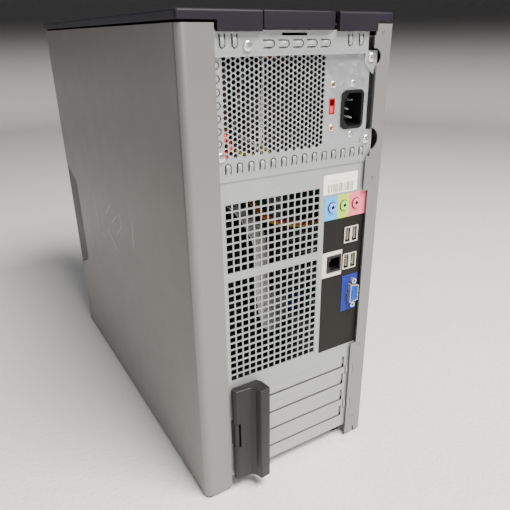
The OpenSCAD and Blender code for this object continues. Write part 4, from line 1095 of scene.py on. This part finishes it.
dress("front_bezel", bezel_plastic, 1.0, 3)
dress("port_flap", bezel_plastic, 0.6)
button_silver = plastic_finish("button_silver", (0.30, 0.31, 0.32), (0.40, 0.41, 0.42), 0.32, 2400, 0.00001,
                               Metallic=0.6, Coat_Weight=0.4)
dress("power_button", button_silver, 0.9, 3)
round_edges(NODES["front_board"], 0.3)


# ---------- Cables inside ----------
# A flat grey ribbon of forty moulded-together wires runs from the board to the disc drive, and
# four bundles of coloured leads leave the supply.

ribbon_grey = Finish("ribbon_grey", Coat_Weight=0.2)
ribbon_cloud = ribbon_grey.noise(50, 3)
ribbon_grey.feed("Base Color", ribbon_grey.blend(ribbon_cloud, (0.74, 0.70, 0.67), (0.86, 0.82, 0.79)))
ribbon_grey.feed("Roughness", 0.42 + 0.15 * (ribbon_cloud - 0.5))
ribbon_grey.bump(ribbon_grey.noise(600, 2), 0.00002)

ribbon_path = eased([Vector(v) * MM for v in (
    (-70, 102.5, 122), (-56, 108, 114), (-36, 126, 122), (-14, 144, 146), (-6, 150, 176), (-6, 150, 206),
    (-3, 146, 228), (6, 132, 246), (22, 104, 266), (34, 60, 292), (38, 20, 326), (37, -12, 354),
    (36, -34, 366))], 6)
ribbon_wide = 40 * MM
ribbon_rows = []
for i, point in enumerate(ribbon_path):
    way = (ribbon_path[min(i + 1, len(ribbon_path) - 1)] - ribbon_path[max(i - 1, 0)]).normalized()
    back = Vector((0.7, -0.71, 0)).lerp(Vector((0, 0, -1)), max(0, min(1, (i - 42) / 24)))
    across = way.cross(back).normalized()
    up = across.cross(way)
    row = []
    for side in (1, -1):
        for k in range(81):
            spread = (k / 80 - 0.5) * ribbon_wide * side
            ridge = (0.30 + 0.17 * abs(math.sin(math.pi * k / 2))) * MM * side
            row.append(point + across * spread + up * ridge)
    ribbon_rows.append(row)
ribbon = Build()
ribbon.grid(ribbon_rows, closed_rows=True, cap_ends=True)
ribbon_piece = make_piece("ribbed_ribbon", ribbon, ribbon_grey, "chassis", 60)
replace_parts(ribbon_piece, "ribbon_cable")

for number, (colours, route) in enumerate((
        (("orange", "yellow", "red", "black", "red", "white"),
         ((-60, 74, 326), (-60, 64, 325), (-57, 54, 314), (-52, 50, 294), (-54, 58, 272), (-60, 64, 258),
          (-68, 65, 248))),
        (("yellow", "black", "red", "black", "red"),
         ((-54, 74, 333), (-54, 62, 333), (-44, 46, 322), (-24, 30, 302), (-6, 4, 286), (0, -30, 276))),
        (("red", "yellow", "black", "black"),
         ((-66, 74, 333), (-66, 62, 334), (-62, 46, 342), (-56, 20, 356), (-52, -10, 364),
          (-50, -34, 368))),
        (("yellow", "orange", "red", "yellow", "orange"),
         ((-57, 74, 323), (-55, 62, 321), (-44, 52, 300), (-30, 70, 266), (-24, 100, 244), (-30, 128, 231),
          (-50, 146, 228), (-72, 151, 227))))):
    path = eased([Vector(v) * MM for v in route], 6)
    frames = sides_along(path)
    for k, colour in enumerate(colours):
        turn = 2 * math.pi * k / len(colours)
        twisted = [point + (across * math.cos(turn + i * 0.07) + up * math.sin(turn + i * 0.07)) * 2.0 * MM
                   for i, (point, (across, up)) in enumerate(zip(path, frames))]
        lead = Build()
        wire_mesh(lead, twisted, 1.0 * MM, 10)
        lead_piece = make_piece(f"lead_{number + 1}_{k + 1}", lead, vinyls[colour], "chassis", 60)
        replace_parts(lead_piece, "power_leads")


# ---------- Feet ----------
# Four black rubber feet, pressed through the base and worn dull underneath.

foot_rubber = Finish("foot_rubber")
rubber_dust = foot_rubber.noise(60, 4)
foot_rubber.feed("Base Color", foot_rubber.blend(rubber_dust.smooth(0.4, 0.8), (0.018, 0.018, 0.018),
                                                 (0.060, 0.057, 0.052)))
foot_rubber.feed("Roughness", 0.72 + 0.15 * (rubber_dust - 0.5))
foot_rubber.bump(foot_rubber.noise(1200, 3), 0.00004)
dress("feet", foot_rubber, 0.8, 3)
